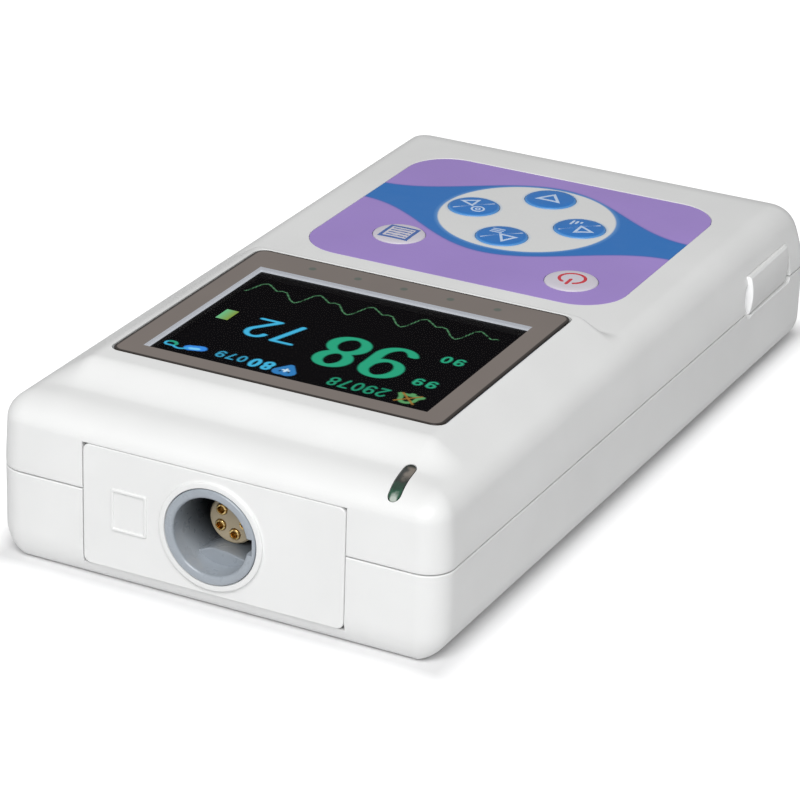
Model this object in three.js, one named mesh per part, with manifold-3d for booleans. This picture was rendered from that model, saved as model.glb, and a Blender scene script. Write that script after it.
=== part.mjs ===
// Handheld pulse oximeter, lying on its back with the screen up. Millimetres.
// +Z leaves the screen, +Y runs toward the probe socket and +X is on the user's right.
// The outer forms come first, then the helpers, the housing, the screen, the keys, the socket and the rest.
import * as THREE from 'three';
import { mergeVertices } from 'three/addons/utils/BufferGeometryUtils.js';
import Module from 'manifold-3d';

const wasm = await Module();
wasm.setup();

// Case
const caseWidth = 60;
const caseLength = 116;
const displayTop = 24.2;
const keypadTop = 21.4;
const wall = 1.8;
const partingHeight = 12;
const cornerRadius = 3.5;
const shoulderRadius = 3;
const endShoulderRun = 4.8;
const farShoulderRun = 7;
const farShoulderDrop = 4.5;
const baseRadius = 3.4;
const baseEndRun = 2.2;
const sideFlare = 2.1;
const sideFlareNear = 0.4;
const leastRadius = 0.4;
const seam = 0.16;
const lipThickness = 0.7;
const lipHeight = 1.2;
const fit = 0.15;
const restGap = 0.1;
const overrun = 6;

// Raised display end, measured from the socket end and the sides of the case
const islandSideMargin = 6.5;
const islandMargin = 11.2;
const islandNearRun = 5.6;
const islandFarRun = 3.4;
const islandCorner = 1.6;
const islandFootCorner = 5;
const islandPocketDrop = 2.5;

// Window and display
const windowSideMargin = 0.75;
const windowNearMargin = 3.1;
const windowFarMargin = 0.3;
const windowCorner = 1.5;
const windowThickness = 1.2;
const traySideMargin = 1.6;
const trayNearMargin = 2.4;
const trayFarMargin = 4.05;
const trayHeight = 3.1;
const trayGap = 0.5;
const trayRim = 0.55;
const trayFloor = 1.3;
const panelThickness = 1.6;
const holderBorder = 0.8;
const holderWall = 3.2;
const flexWidth = 14;
const flexThickness = 0.3;
const flexReach = 1.2;
const flexFoot = 2.6;

// Keypad, measured from the keypad end of the case and the sides of the label
const labelSideMargin = 6.8;
const labelLength = 41.7;
const labelMargin = 11.8;
const labelGap = 9.5;
const labelCorner = 6.5;
const labelThickness = 0.25;
const labelDepth = 0.3;
const padRadius = 8.1;
const padCentreUp = 16.3;
const menuIn = 10.8;
const menuDown = 10.7;
const powerIn = 8.3;
const powerDown = 7.4;
const keyRadius = 3.65;
const keyProud = 0.15;
const keyEdge = 0.3;
const keyCrown = 0.1;
const keyFlangeRadius = 4.4;
const keyFlangeHeight = 0.8;
const keyStemRadius = 1.1;
const keyStemEnd = 1.4;

// Board and what stands on it
const keySpace = 4.1;
const boardThickness = 1.6;
const boardSideGap = 1.6;
const boardKeypadGap = 1.6;
const boardSocketGap = 3;
const bossRelief = 0.3;
const switchWidth = 6;
const switchHeight = 1.9;
const switchOpening = 1.35;
const switchFloor = 0.7;
const processorWidth = 9.6;
const processorHeight = 1.3;
const processorIn = 20.6;
const analogWidth = 7.6;
const analogHeight = 1.1;
const analogIn = 11.4;
const processorRow = 11;
const analogRow = 9;
const buzzerRadius = 6;
const buzzerHeight = 3;
const buzzerIn = 17;
const buzzerRow = 16;
const buzzerPort = 1;
const ledSize = 1.6;
const ledHeight = 1;

// Light pipe in the slot of the shoulder
const pipeThickness = 1.4;
const pipeLength = 6.4;
const pipeIn = 7;
const pipeBack = 4.1;
const pipeTurn = 6.5;
const pipeFoot = 1.5;

// Probe socket and the plate that holds it
const panelWidth = 35.7;
const panelBottom = 2.2;
const panelRim = 0.2;
const panelDepth = 2.9;
const panelCorner = 1;
const earWidth = 1.2;
const earDepth = 0.9;
const earDrop = 2.6;
const ribThickness = 1.2;
const ribReach = 3.4;
const socketHeight = 10.1;
const socketFlangeRadius = 6.2;
const socketProud = 0.55;
const socketFlangeDepth = 1.55;
const socketBarrelRadius = 5.7;
const socketLength = 15.6;
const socketBore = 4.95;
const socketBackWall = 3.6;
const socketChamfer = 0.25;
const ringRadius = 7.05;
const ringProud = 0.4;
const keywayWidth = 1.9;
const keywayReach = 5.45;
const keywayDepth = 7;
const ledgeInner = 4.15;
const ledgeLength = 5.5;
const ledgeStart = 205;
const ledgeSweep = 60;
const coreRadius = 2.8;
const coreInset = 5;
const coreTail = 1;
const contactCount = 5;
const contactFirst = 40;
const contactCircle = 1.8;
const contactRadius = 0.62;
const contactBore = 0.42;
const contactBoreDepth = 6;
const contactProud = 0.25;
const contactTail = 2.5;
const contactTailRadius = 0.35;
const nutRadius = 7;
const nutThickness = 2.4;
const notchMargin = 2;
const ribbonWidth = 7.4;
const ribbonThickness = 0.3;
const ribbonBelow = 2.3;
const ribbonUnderBoard = 0.9;
const probeConnectorWidth = 8;
const probeConnectorLength = 3.6;
const probeConnectorHeight = 1.55;
const probeConnectorGap = 1.85;

// Side port, measured from the keypad end
const coverLength = 14.7;
const coverHeight = 5.6;
const coverThickness = 2.8;
const coverProud = 1.95;
const coverFar = 7.4;
const coverLow = 0.7;
const coverEdge = 0.5;
const notchRadius = 2.5;
const notchAhead = 0.3;
const notchOut = 0.8;
const usbWidth = 7.7;
const usbHeight = 3.9;
const usbLength = 9;
const usbWall = 0.5;
const usbTongueWidth = 4.8;
const usbTongueHeight = 0.8;
const usbTongueInset = 1.4;

// Screws and posts
const screwIn = 5.4;
const screwKeypadEnd = 6;
const screwSocketEnd = 11.5;
const screwHeadRadius = 2;
const screwHeadHeight = 1.4;
const screwHeadDepth = 0.9;
const screwRadius = 1.05;
const screwReach = 5;
const bossWall = 1.85;
const postRadius = 1.5;
const postIn = 5.6;
const postKeypadEnd = 32;
const postSocketEnd = 28;

// Battery and its door
const batteryLength = 49.2;
const batteryThickness = 7.4;
const batteryCorner = 1;
const batteryEndGap = 0.4;
const bayGap = 0.75;
const bayPortGap = 0.65;
const bayRoof = 1.3;
const bayWall = 1.45;
const bayHeadroom = 0.6;
const bayKeypadEnd = 3.4;
const doorThickness = 1.6;
const doorLift = 0.25;
const doorLipHeight = 8;
const tongueReach = 0.8;
const tongueHeight = 0.6;
const tongueLow = 0.6;
const gripCount = 5;
const gripPitch = 2.4;
const gripWidth = 1.1;
const gripDepth = 0.45;
const gripLength = 18;
const gripStart = 6;
const connectorWidth = 12;
const connectorThickness = 1.4;
const connectorHeight = 6;
const springCount = 3;
const springPitch = 4;
const springWidth = 1.6;
const springRadius = 2;
const springThickness = 0.3;

// Numbers of facets
const cornerSteps = 5;
const arcSteps = 5;
const flareSteps = 2;
const islandSteps = 6;
const fineSides = 40;
const roundSides = 24;
const smallSides = 14;

// Places worked out from the sizes above
const halfWidth = caseWidth / 2;
const halfLength = caseLength / 2;
const labelWidth = caseWidth - labelSideMargin * 2;
const labelFar = -halfLength + labelMargin;
const labelNear = labelFar + labelLength;
const labelFloor = keypadTop - labelDepth;
const islandWidth = caseWidth - islandSideMargin * 2;
const islandNear = halfLength - islandMargin;
const islandFar = labelNear + labelGap;
const windowWidth = islandWidth - windowSideMargin * 2;
const windowNear = islandNear - windowNearMargin;
const windowFar = islandFar + windowFarMargin;
const windowFloor = displayTop - windowThickness - restGap / 2;
const boardTop = keypadTop - wall - keySpace;
const boardBottom = boardTop - boardThickness;
const boardFar = -halfLength + wall + boardKeypadGap;
const boardNear = halfLength - wall - boardSocketGap;
const boardHalf = halfWidth - wall - boardSideGap;
const panelTop = keypadTop - shoulderRadius - panelRim;
const panelBack = halfLength - panelDepth;
const coverInner = -halfWidth - coverProud + coverThickness;
const seatFloor = coverInner + fit;
const usbFront = seatFloor + fit;
const bayHalf = -(usbFront + usbLength + bayPortGap + bayWall);
const batteryWidth = (bayHalf - bayGap) * 2;
const bayFar = -halfLength + bayKeypadEnd;
const batteryBottom = doorThickness + doorLift;
const bayCeiling = batteryBottom + batteryThickness + bayHeadroom;
const batteryFar = bayFar + batteryEndGap;
const batteryNear = batteryFar + batteryLength;
const springNear = batteryNear + fit + springRadius;
const connectorNear = springNear + fit + connectorThickness;
const bayNear = connectorNear + fit;
const doorNear = bayNear + bayWall - fit - fit;
const bossRadius = screwRadius + bossWall;
const trayBottom = windowFloor - fit - trayHeight;
const trayWidth = windowWidth - traySideMargin * 2;
const trayNear = windowNear - trayNearMargin;
const trayFar = windowFar + trayFarMargin;

const screwPlaces = [
  ['keypad_left', -halfWidth + screwIn, -halfLength + screwKeypadEnd],
  ['keypad_right', halfWidth - screwIn, -halfLength + screwKeypadEnd],
  ['socket_left', -halfWidth + screwIn, halfLength - screwSocketEnd],
  ['socket_right', halfWidth - screwIn, halfLength - screwSocketEnd],
];
const postPlaces = [
  [-halfWidth + postIn, -halfLength + postKeypadEnd],
  [halfWidth - postIn, -halfLength + postKeypadEnd],
  [-halfWidth + postIn, halfLength - postSocketEnd],
  [halfWidth - postIn, halfLength - postSocketEnd],
];
const padCentre = labelFar + padCentreUp;
const keyPlaces = [
  ['menu', labelWidth / 2 - menuIn, labelNear - menuDown],
  ['power', -labelWidth / 2 + powerIn, labelNear - powerDown],
  ['up', 0, padCentre + padRadius],
  ['down', 0, padCentre - padRadius],
  ['left', -padRadius, padCentre],
  ['right', padRadius, padCentre],
];

// Solids with flat or round faces, made where they belong
function block(x0, x1, y0, y1, z0, z1) {
  const geometry = new THREE.BoxGeometry(x1 - x0, y1 - y0, z1 - z0);
  return geometry.translate((x0 + x1) / 2, (y0 + y1) / 2, (z0 + z1) / 2);
}

function drum(x, y, z0, z1, radius, sides = roundSides) {
  const geometry = new THREE.CylinderGeometry(radius, radius, z1 - z0, sides);
  return geometry.rotateX(Math.PI / 2).translate(x, y, (z0 + z1) / 2);
}

function rod(x, z, y0, y1, radius, sides = roundSides) {
  const geometry = new THREE.CylinderGeometry(radius, radius, y1 - y0, sides);
  return geometry.translate(x, (y0 + y1) / 2, z);
}

// Revolves pairs of radius and height round the upright axis.
function turned(profile, sides) {
  const points = profile.map(([radius, height]) => new THREE.Vector2(radius, height));
  return new THREE.LatheGeometry(points, sides);
}

// Extrudes an outline of pairs of y and z along X, centred on x.
function strip(outline, width, x) {
  const shape = new THREE.Shape(outline.map(([y, z]) => new THREE.Vector2(y, z)));
  const geometry = new THREE.ExtrudeGeometry(shape, { depth: width, bevelEnabled: false });
  geometry.translate(0, 0, -width / 2);
  return geometry.rotateX(Math.PI / 2).rotateZ(Math.PI / 2).translate(x, 0, 0);
}

// One level outline with round corners, anticlockwise seen from above.
function ring(x0, x1, y0, y1, radius, z) {
  const centres = [
    [x1 - radius, y0 + radius],
    [x1 - radius, y1 - radius],
    [x0 + radius, y1 - radius],
    [x0 + radius, y0 + radius],
  ];
  return centres.flatMap(([x, y], quarter) =>
    Array.from({ length: cornerSteps + 1 }, (_, step) => {
      const angle = ((quarter - 1 + step / cornerSteps) * Math.PI) / 2;
      return [x + radius * Math.cos(angle), y + radius * Math.sin(angle), z];
    }),
  );
}

// Joins level rings, lowest first, into one closed body with flat ends.
function loft(rings) {
  const count = rings[0].length;
  const index = [];
  for (let level = 0; level + 1 < rings.length; level += 1) {
    for (let corner = 0; corner < count; corner += 1) {
      const here = level * count + corner;
      const next = level * count + ((corner + 1) % count);
      index.push(here, next, next + count, here, next + count, here + count);
    }
  }
  const last = (rings.length - 1) * count;
  for (let corner = 1; corner + 1 < count; corner += 1) {
    index.push(0, corner + 1, corner, last, last + corner, last + corner + 1);
  }
  const geometry = new THREE.BufferGeometry();
  geometry.setAttribute('position', new THREE.Float32BufferAttribute(rings.flat(2), 3));
  geometry.setIndex(index);
  return geometry;
}

function slab(x0, x1, y0, y1, radius, z0, z1) {
  return loft([ring(x0, x1, y0, y1, radius, z0), ring(x0, x1, y0, y1, radius, z1)]);
}

// A slab that stands up in the XZ plane, between two values of y.
function upright(x0, x1, z0, z1, radius, y0, y1) {
  return slab(x0, x1, z0, z1, radius, -y1, -y0).rotateX(Math.PI / 2);
}

// Joins and cuts
function solidOf(geometry) {
  const plain = geometry.clone();
  plain.deleteAttribute('normal');
  plain.deleteAttribute('uv');
  const merged = mergeVertices(plain);
  const vertProperties = new Float32Array(merged.attributes.position.array);
  const triVerts = new Uint32Array(merged.index.array);
  return new wasm.Manifold(new wasm.Mesh({ numProp: 3, vertProperties, triVerts }));
}

function geometryOf(solid) {
  const mesh = solid.getMesh();
  const geometry = new THREE.BufferGeometry();
  geometry.setAttribute('position', new THREE.BufferAttribute(mesh.vertProperties, 3));
  geometry.setIndex(new THREE.BufferAttribute(mesh.triVerts, 1));
  return geometry;
}

const join = (first, ...others) =>
  geometryOf(others.reduce((solid, other) => solid.add(solidOf(other)), solidOf(first)));
const cut = (first, ...tools) =>
  geometryOf(tools.reduce((solid, tool) => solid.subtract(solidOf(tool)), solidOf(first)));
const common = (first, second) => geometryOf(solidOf(first).intersect(solidOf(second)));

// Keeps what lies between two heights.
function between(geometry, z0, z1) {
  const x = halfWidth + overrun;
  const y = halfLength + overrun;
  return common(geometry, block(-x, x, -y, y, z0, z1));
}

// Outer form of the case without the raised end, drawn in by an inset on every side. A flared form is
// wider below its top, and more so toward the keypad end.
function bodyForm(inset, flared = false) {
  const base = Math.max(baseRadius - inset, leastRadius);
  const baseEnd = Math.max(baseEndRun - inset, leastRadius);
  const side = Math.max(shoulderRadius - inset, leastRadius);
  const near = Math.max(endShoulderRun - inset, leastRadius);
  const far = Math.max(farShoulderRun - inset, leastRadius);
  const farDrop = Math.max(farShoulderDrop - inset, leastRadius);
  const corner = Math.max(cornerRadius - inset, leastRadius);
  const top = keypadTop - inset;
  const rings = [];
  const level = (z, drawnX, drawnNear, drawnFar) => {
    const x = halfWidth - inset - drawnX;
    const y = halfLength - inset;
    const radius = Math.max(corner - drawnX, leastRadius);
    const outline = ring(-x, x, -y + drawnFar, y - drawnNear, radius, z);
    rings.push(flared ? outline.map(flare) : outline);
  };
  for (let step = 0; step <= arcSteps; step += 1) {
    const angle = ((step / arcSteps) * Math.PI) / 2;
    const share = 1 - Math.sin(angle);
    level(inset + base * (1 - Math.cos(angle)), base * share, baseEnd * share, baseEnd * share);
  }
  if (flared) {
    for (let step = 0; step < flareSteps; step += 1) {
      level(partingHeight + ((top - farDrop - partingHeight) * step) / flareSteps, 0, 0, 0);
    }
  }
  const sideFoot = top - side;
  const heights = [top - farDrop, (top - farDrop + sideFoot) / 2];
  for (let step = 0; step <= arcSteps; step += 1) {
    heights.push(sideFoot + side * Math.sin(((step / arcSteps) * Math.PI) / 2));
  }
  heights.forEach((z) => {
    const share = fallen((z - sideFoot) / side);
    level(z, side * share, near * share, far * fallen((z - top + farDrop) / farDrop));
  });
  return loft(rings);
}

// How far a quarter round has run in at a share of its height
function fallen(height) {
  const upward = Math.min(Math.max(height, 0), 1);
  return 1 - Math.sqrt(1 - upward * upward);
}

function flare([x, y, z]) {
  const upward = Math.min(Math.max((z - partingHeight) / (keypadTop - partingHeight), 0), 1);
  const kept = 1 - upward * upward * (3 - 2 * upward);
  const far = (halfLength - y) / caseLength;
  const more = sideFlareNear + (sideFlare - sideFlareNear) * far;
  return [x * (1 + (more * kept) / halfWidth), y, z];
}

// The side facets of the raised end run straight from its top edge until they touch the shoulder's arc.
function facetRun() {
  const across = halfWidth - shoulderRadius - islandWidth / 2;
  const down = displayTop - (keypadTop - shoulderRadius);
  const reach = Math.hypot(across, down);
  const length = Math.sqrt(reach * reach - shoulderRadius * shoulderRadius);
  const slope = Math.atan2(down, across) - Math.asin(shoulderRadius / reach);
  return { run: length * Math.cos(slope), drop: length * Math.sin(slope) };
}

// Raised display end, drawn in by an inset and lowered by a drop. Its ends fall in a soft double curve.
function islandForm(inset, lower) {
  const facet = facetRun();
  const rings = [];
  for (let step = islandSteps; step >= 0; step -= 1) {
    const share = step / islandSteps;
    const fallShare = share * share * (3 - 2 * share);
    const x = islandWidth / 2 + facet.run * fallShare - inset;
    const far = islandFar - islandFarRun * share + inset;
    const near = islandNear + islandNearRun * share - inset;
    const radius = islandCorner + (islandFootCorner - islandCorner) * share - inset;
    const z = displayTop - facet.drop * fallShare - lower;
    if (step === islandSteps) {
      rings.push(ring(-x, x, far, near, Math.max(radius, leastRadius), partingHeight + lipHeight));
    }
    rings.push(ring(-x, x, far, near, Math.max(radius, leastRadius), z));
  }
  return loft(rings);
}

const caseForm = bodyForm(0, true);
const outerForm = join(caseForm, islandForm(0, 0));
const cavityForm = bodyForm(wall);

// Opening for the end plate, through the end wall of both shells
function panelOpening() {
  const x = panelWidth / 2 + fit;
  return block(-x, x, halfLength - wall - fit, halfLength + overrun, panelBottom - fit, panelTop + fit);
}

// Sunk seat of the port cover, the hole of the port behind it and a nail notch beside it
const coverFarEnd = -halfLength + coverFar;
const coverNearEnd = coverFarEnd + coverLength;
const coverBottom = partingHeight - coverLow;
const coverTop = coverBottom + coverHeight;
const usbCentre = (coverFarEnd + coverNearEnd) / 2;
const usbBottom = coverBottom + (coverHeight - usbHeight) / 2;
const usbTop = usbBottom + usbHeight;

function portCuts() {
  const outside = -halfWidth - overrun;
  const y = usbWidth / 2 + fit;
  const notch = new THREE.SphereGeometry(notchRadius, roundSides, smallSides);
  const notchX = -halfWidth - coverProud - notchOut;
  notch.translate(notchX, coverNearEnd + notchAhead, coverBottom + coverHeight / 2);
  return [
    block(outside, seatFloor, coverFarEnd - fit, coverNearEnd + fit, coverBottom - fit, coverTop + fit),
    block(outside, usbFront + wall, usbCentre - y, usbCentre + y, usbBottom - fit, usbTop + fit),
    notch,
  ];
}

// A flat bar that stands in the shoulder, turned in plan, from a height upward
function pipeBar(extra, bottom) {
  const length = pipeLength + extra * 2;
  const thickness = pipeThickness + extra * 2;
  const bar = block(-thickness / 2, thickness / 2, -length / 2, length / 2, bottom, displayTop);
  bar.rotateZ(THREE.MathUtils.degToRad(pipeTurn));
  return bar.translate(-halfWidth + pipeIn, halfLength - pipeBack, 0);
}

function frontShell() {
  const low = partingHeight + seam / 2;
  const rebate = between(bodyForm(wall - lipThickness - fit), 0, partingHeight + lipHeight + fit);
  const pocket = islandForm(wall, islandPocketDrop);
  let shell = cut(between(outerForm, low, displayTop), cavityForm, pocket, rebate);
  const roof = displayTop - islandPocketDrop + fit;
  const inside = between(outerForm, 0, roof);
  const bosses = screwPlaces.map(([, x, y]) => drum(x, y, low, roof, bossRadius));
  const posts = postPlaces.map(([x, y]) => drum(x, y, boardTop + restGap, roof, postRadius, smallSides));
  shell = join(shell, ...[...bosses, ...posts].map((stud) => common(stud, inside)));
  const screwEnd = boardTop + screwReach - boardThickness;
  const pilots = screwPlaces.map(([, x, y]) =>
    drum(x, y, low - fit, screwEnd, screwRadius + restGap, smallSides));
  const keyHoles = keyPlaces.map(([, x, y]) => drum(x, y, boardTop, keypadTop + overrun, keyRadius + fit));
  const label = slab(
    -labelWidth / 2 - fit, labelWidth / 2 + fit, labelFar - fit, labelNear + fit,
    labelCorner + fit, labelFloor, keypadTop + overrun,
  );
  const window = slab(
    -windowWidth / 2 - restGap, windowWidth / 2 + restGap, windowFar - restGap, windowNear + restGap,
    windowCorner + restGap, windowFloor - restGap / 2, displayTop + overrun,
  );
  const aperture = block(
    -trayWidth / 2 - trayGap, trayWidth / 2 + trayGap, trayFar - trayGap, trayNear + trayGap,
    boardTop, displayTop,
  );
  return cut(
    shell, ...pilots, ...keyHoles, label, window, aperture,
    pipeBar(fit, boardTop + pipeFoot - fit), panelOpening(), ...portCuts(),
  );
}

// Side ribs of the rear shell that stand behind the ears of the end plate
function earRibs() {
  const y1 = panelBack - restGap;
  const inner = panelWidth / 2 - restGap;
  return [-1, 1].map((side) => {
    const x0 = side < 0 ? -inner - ribReach : inner;
    return block(x0, x0 + ribReach, y1 - ribThickness, y1, wall - restGap, partingHeight - earDrop);
  });
}

function rearShell() {
  const top = partingHeight - seam / 2;
  let shell = cut(between(caseForm, 0, top), cavityForm);
  const lipRing = cut(bodyForm(wall - lipThickness), cavityForm);
  const lip = between(lipRing, partingHeight - lipHeight, partingHeight + lipHeight);
  const floor = wall - restGap;
  const bosses = screwPlaces.map(([, x, y]) => drum(x, y, floor, top, bossRadius));
  const posts = postPlaces.map(([x, y]) => drum(x, y, floor, boardBottom - restGap, postRadius, smallSides));
  const bayOuter = bayHalf + bayWall;
  const bayEnd = bayNear + bayWall;
  const box = block(-bayOuter, bayOuter, -halfLength + wall - restGap, bayEnd, floor, bayCeiling + bayRoof);
  shell = join(shell, lip, ...bosses, ...posts, ...earRibs(), box);
  const doorSide = bayHalf;
  const sill = doorThickness + fit;
  const grooveSide = doorSide - fit + tongueReach + fit;
  const outside = -halfLength - overrun;
  const counterbores = screwPlaces.map(([, x, y]) =>
    drum(x, y, -overrun, screwHeadDepth + screwHeadHeight + restGap, screwHeadRadius + fit));
  const screwHoles = screwPlaces.map(([, x, y]) =>
    drum(x, y, 0, top + overrun, screwRadius + fit, smallSides));
  return cut(
    shell,
    block(-bayHalf, bayHalf, bayFar, bayNear, -overrun, bayCeiling),
    block(-doorSide, doorSide, outside, doorNear + fit, -overrun, sill),
    block(-grooveSide, grooveSide, outside, doorNear + fit, tongueLow - fit, tongueLow + tongueHeight + fit),
    block(-doorSide, doorSide, outside, -halfLength + doorThickness + fit, -overrun, doorLipHeight + fit),
    ...counterbores, ...screwHoles, panelOpening(), ...portCuts(),
  );
}

function batteryDoor() {
  const side = bayHalf - fit;
  const tongueSide = side + tongueReach;
  const outside = -halfLength - overrun;
  const plate = common(caseForm, block(-side, side, outside, doorNear, 0, doorThickness));
  const lip = common(caseForm, block(-side, side, outside, -halfLength + doorThickness, 0, doorLipHeight));
  const tongues = common(
    caseForm, block(-tongueSide, tongueSide, outside, doorNear, tongueLow, tongueLow + tongueHeight),
  );
  const grips = Array.from({ length: gripCount }, (_, row) => {
    const y = -halfLength + gripStart + row * gripPitch;
    return block(-gripLength / 2, gripLength / 2, y, y + gripWidth, -overrun, gripDepth);
  });
  return cut(join(plate, lip, tongues), ...grips);
}

// Plate in the socket end, with ears behind the end wall and a raised ring round the socket
function endPanel() {
  const x = panelWidth / 2;
  const earFront = halfLength - wall - restGap;
  const plate = upright(-x, x, panelBottom, panelTop, panelCorner, panelBack, halfLength);
  const ears = block(
    -x - earWidth, x + earWidth, earFront - earDepth, earFront, panelBottom + earDrop, panelTop - earDrop,
  );
  const raised = rod(0, socketHeight, halfLength - wall, halfLength + ringProud, ringRadius, fineSides);
  const seat = halfLength + socketProud - socketFlangeDepth - restGap;
  return cut(
    join(plate, ears, raised),
    rod(0, socketHeight, seat, halfLength + overrun, socketFlangeRadius + restGap, fineSides),
    rod(0, socketHeight, panelBack - overrun, seat + restGap, socketBarrelRadius + fit, fineSides),
  );
}

// Display
function displayWindow() {
  const x = windowWidth / 2;
  const top = windowFloor + windowThickness;
  return slab(-x, x, windowFar, windowNear, windowCorner, windowFloor, top);
}

function displayTray() {
  const x = trayWidth / 2;
  const outer = block(-x, x, trayFar, trayNear, trayBottom, trayBottom + trayHeight);
  const inner = block(
    -x + trayRim, x - trayRim, trayFar + trayRim, trayNear - trayRim,
    trayBottom + trayFloor, trayBottom + trayHeight + overrun,
  );
  return cut(outer, inner);
}

function displayPanel() {
  const x = trayWidth / 2 - trayRim - restGap;
  const y = trayRim + restGap;
  const bottom = trayBottom + trayFloor + restGap / 2;
  return block(-x, x, trayFar + y, trayNear - y, bottom, bottom + panelThickness);
}

function displayHolder() {
  const x = trayWidth / 2 + holderBorder;
  const far = trayFar - holderBorder;
  const near = trayNear + holderBorder;
  const top = trayBottom - restGap;
  return cut(
    block(-x, x, far, near, boardTop + restGap, top),
    block(-x + holderWall, x - holderWall, far + holderWall, near - holderWall, boardTop, top + overrun),
  );
}

// Flat cable from the edge of the display tray down to the board, bent twice
function displayFlex() {
  const low = boardTop + restGap;
  const outer = trayFar - holderBorder - flexReach + flexThickness;
  const inner = outer + flexThickness;
  const high = trayBottom + trayFloor;
  return strip(
    [
      [inner - flexFoot, low],
      [inner, low],
      [inner, high - flexThickness],
      [trayFar - fit, high - flexThickness],
      [trayFar - fit, high],
      [outer, high],
      [outer, low + flexThickness],
      [inner - flexFoot, low + flexThickness],
    ],
    flexWidth, 0,
  );
}

// Keypad
function keypadOverlay() {
  const x = labelWidth / 2;
  const film = slab(-x, x, labelFar, labelNear, labelCorner, labelFloor, labelFloor + labelThickness);
  const holes = keyPlaces.map(([, kx, ky]) => drum(kx, ky, labelFloor - fit, keypadTop, keyRadius + fit));
  return cut(film, ...holes);
}

function key() {
  const roof = keypadTop - wall - restGap;
  const top = keypadTop + keyProud;
  const profile = [
    [0, boardTop + keyStemEnd],
    [keyStemRadius, boardTop + keyStemEnd],
    [keyStemRadius, roof - keyFlangeHeight],
    [keyFlangeRadius, roof - keyFlangeHeight],
    [keyFlangeRadius, roof],
    [keyRadius, roof],
    [keyRadius, top - keyEdge],
    [keyRadius - keyEdge, top],
    [0, top + keyCrown],
  ];
  return turned(profile, roundSides).rotateX(Math.PI / 2);
}

function tactSwitch() {
  const half = switchWidth / 2;
  const low = boardTop + restGap / 2;
  const body = block(-half, half, -half, half, low, boardTop + switchHeight);
  return cut(body, drum(0, 0, boardTop + switchFloor, boardTop + overrun, switchOpening, smallSides));
}

// Board with bites round the screw bosses and a notch round the probe socket
function mainBoard() {
  const notchX = nutRadius + notchMargin;
  const notchY = halfLength - socketLength - contactTail - coreTail;
  const plate = block(-boardHalf, boardHalf, boardFar, boardNear, boardBottom, boardTop);
  const radius = bossRadius + bossRelief;
  const bites = screwPlaces.flatMap(([, x, y]) => [
    drum(x, y, boardBottom - overrun, boardTop + overrun, radius),
    block(
      Math.min(x, x + Math.sign(x) * overrun), Math.max(x, x + Math.sign(x) * overrun),
      y - radius, y + radius, boardBottom - overrun, boardTop + overrun,
    ),
  ]);
  const notch = block(
    -notchX, notchX, notchY, boardNear + overrun, boardBottom - overrun, boardTop + overrun,
  );
  const portX = usbFront + usbLength + restGap / 2;
  const portY = usbWidth / 2 + restGap / 2;
  const portBite = block(
    -boardHalf - overrun, portX, usbCentre - portY, usbCentre + portY, boardBottom - overrun, boardTop + overrun,
  );
  return cut(plate, ...bites, notch, portBite);
}

function chip(x, y, width, height) {
  const top = boardBottom - restGap / 2;
  return block(x - width / 2, x + width / 2, y - width / 2, y + width / 2, top - height, top);
}

function buzzer() {
  const x = halfWidth - buzzerIn;
  const y = bayNear + bayWall + buzzerRow;
  const top = boardBottom - restGap / 2;
  const body = drum(x, y, top - buzzerHeight, top, buzzerRadius);
  return cut(body, drum(x, y, top - buzzerHeight - overrun, top - buzzerHeight / 2, buzzerPort, smallSides));
}

function statusLed() {
  const x = -halfWidth + pipeIn;
  const y = boardNear - ledSize;
  const half = ledSize / 2;
  const low = boardTop + restGap / 2;
  return block(x - half, x + half, y - half, y + half, low, low + ledHeight);
}

// Probe socket: shell with a keyway and a ledge low in the bore
const socketBack = halfLength - socketLength;
const socketFront = halfLength + socketProud;

function probeSocket() {
  const flangeBack = socketFront - socketFlangeDepth;
  const profile = [
    [coreRadius + restGap, socketBack],
    [socketBarrelRadius, socketBack],
    [socketBarrelRadius, flangeBack],
    [socketFlangeRadius, flangeBack],
    [socketFlangeRadius, socketFront - socketChamfer],
    [socketFlangeRadius - socketChamfer, socketFront],
    [socketBore + socketChamfer, socketFront],
    [socketBore, socketFront - socketChamfer],
    [socketBore, socketBack + socketBackWall],
    [coreRadius + restGap, socketBack + socketBackWall],
    [coreRadius + restGap, socketBack],
  ];
  const shell = turned(profile, fineSides).translate(0, 0, socketHeight);
  const keyway = block(
    -keywayReach, -ledgeInner, socketFront - keywayDepth, socketFront + overrun,
    socketHeight - keywayWidth / 2, socketHeight + keywayWidth / 2,
  );
  const start = THREE.MathUtils.degToRad(ledgeStart);
  const end = THREE.MathUtils.degToRad(ledgeStart + ledgeSweep);
  const outline = new THREE.Shape();
  outline.absarc(0, 0, socketBore + socketChamfer, start, end, false);
  outline.absarc(0, 0, ledgeInner, end, start, true);
  const length = ledgeLength + socketChamfer;
  const ledge = new THREE.ExtrudeGeometry(outline, {
    depth: length, bevelEnabled: false, curveSegments: smallSides,
  });
  ledge.rotateX(Math.PI / 2).translate(0, socketBack + socketBackWall + ledgeLength, socketHeight);
  return join(cut(shell, keyway), ledge);
}

function contactPlaces() {
  return Array.from({ length: contactCount }, (_, index) => {
    const angle = THREE.MathUtils.degToRad(contactFirst) + (index * Math.PI * 2) / contactCount;
    return [contactCircle * Math.cos(angle), socketHeight + contactCircle * Math.sin(angle)];
  });
}

function socketInsulator() {
  const back = socketBack - coreTail;
  const core = rod(0, socketHeight, back, halfLength - coreInset, coreRadius);
  const holes = contactPlaces().map(([x, z]) =>
    rod(x, z, back - overrun, halfLength, contactRadius + restGap, smallSides));
  return cut(core, ...holes);
}

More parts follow.
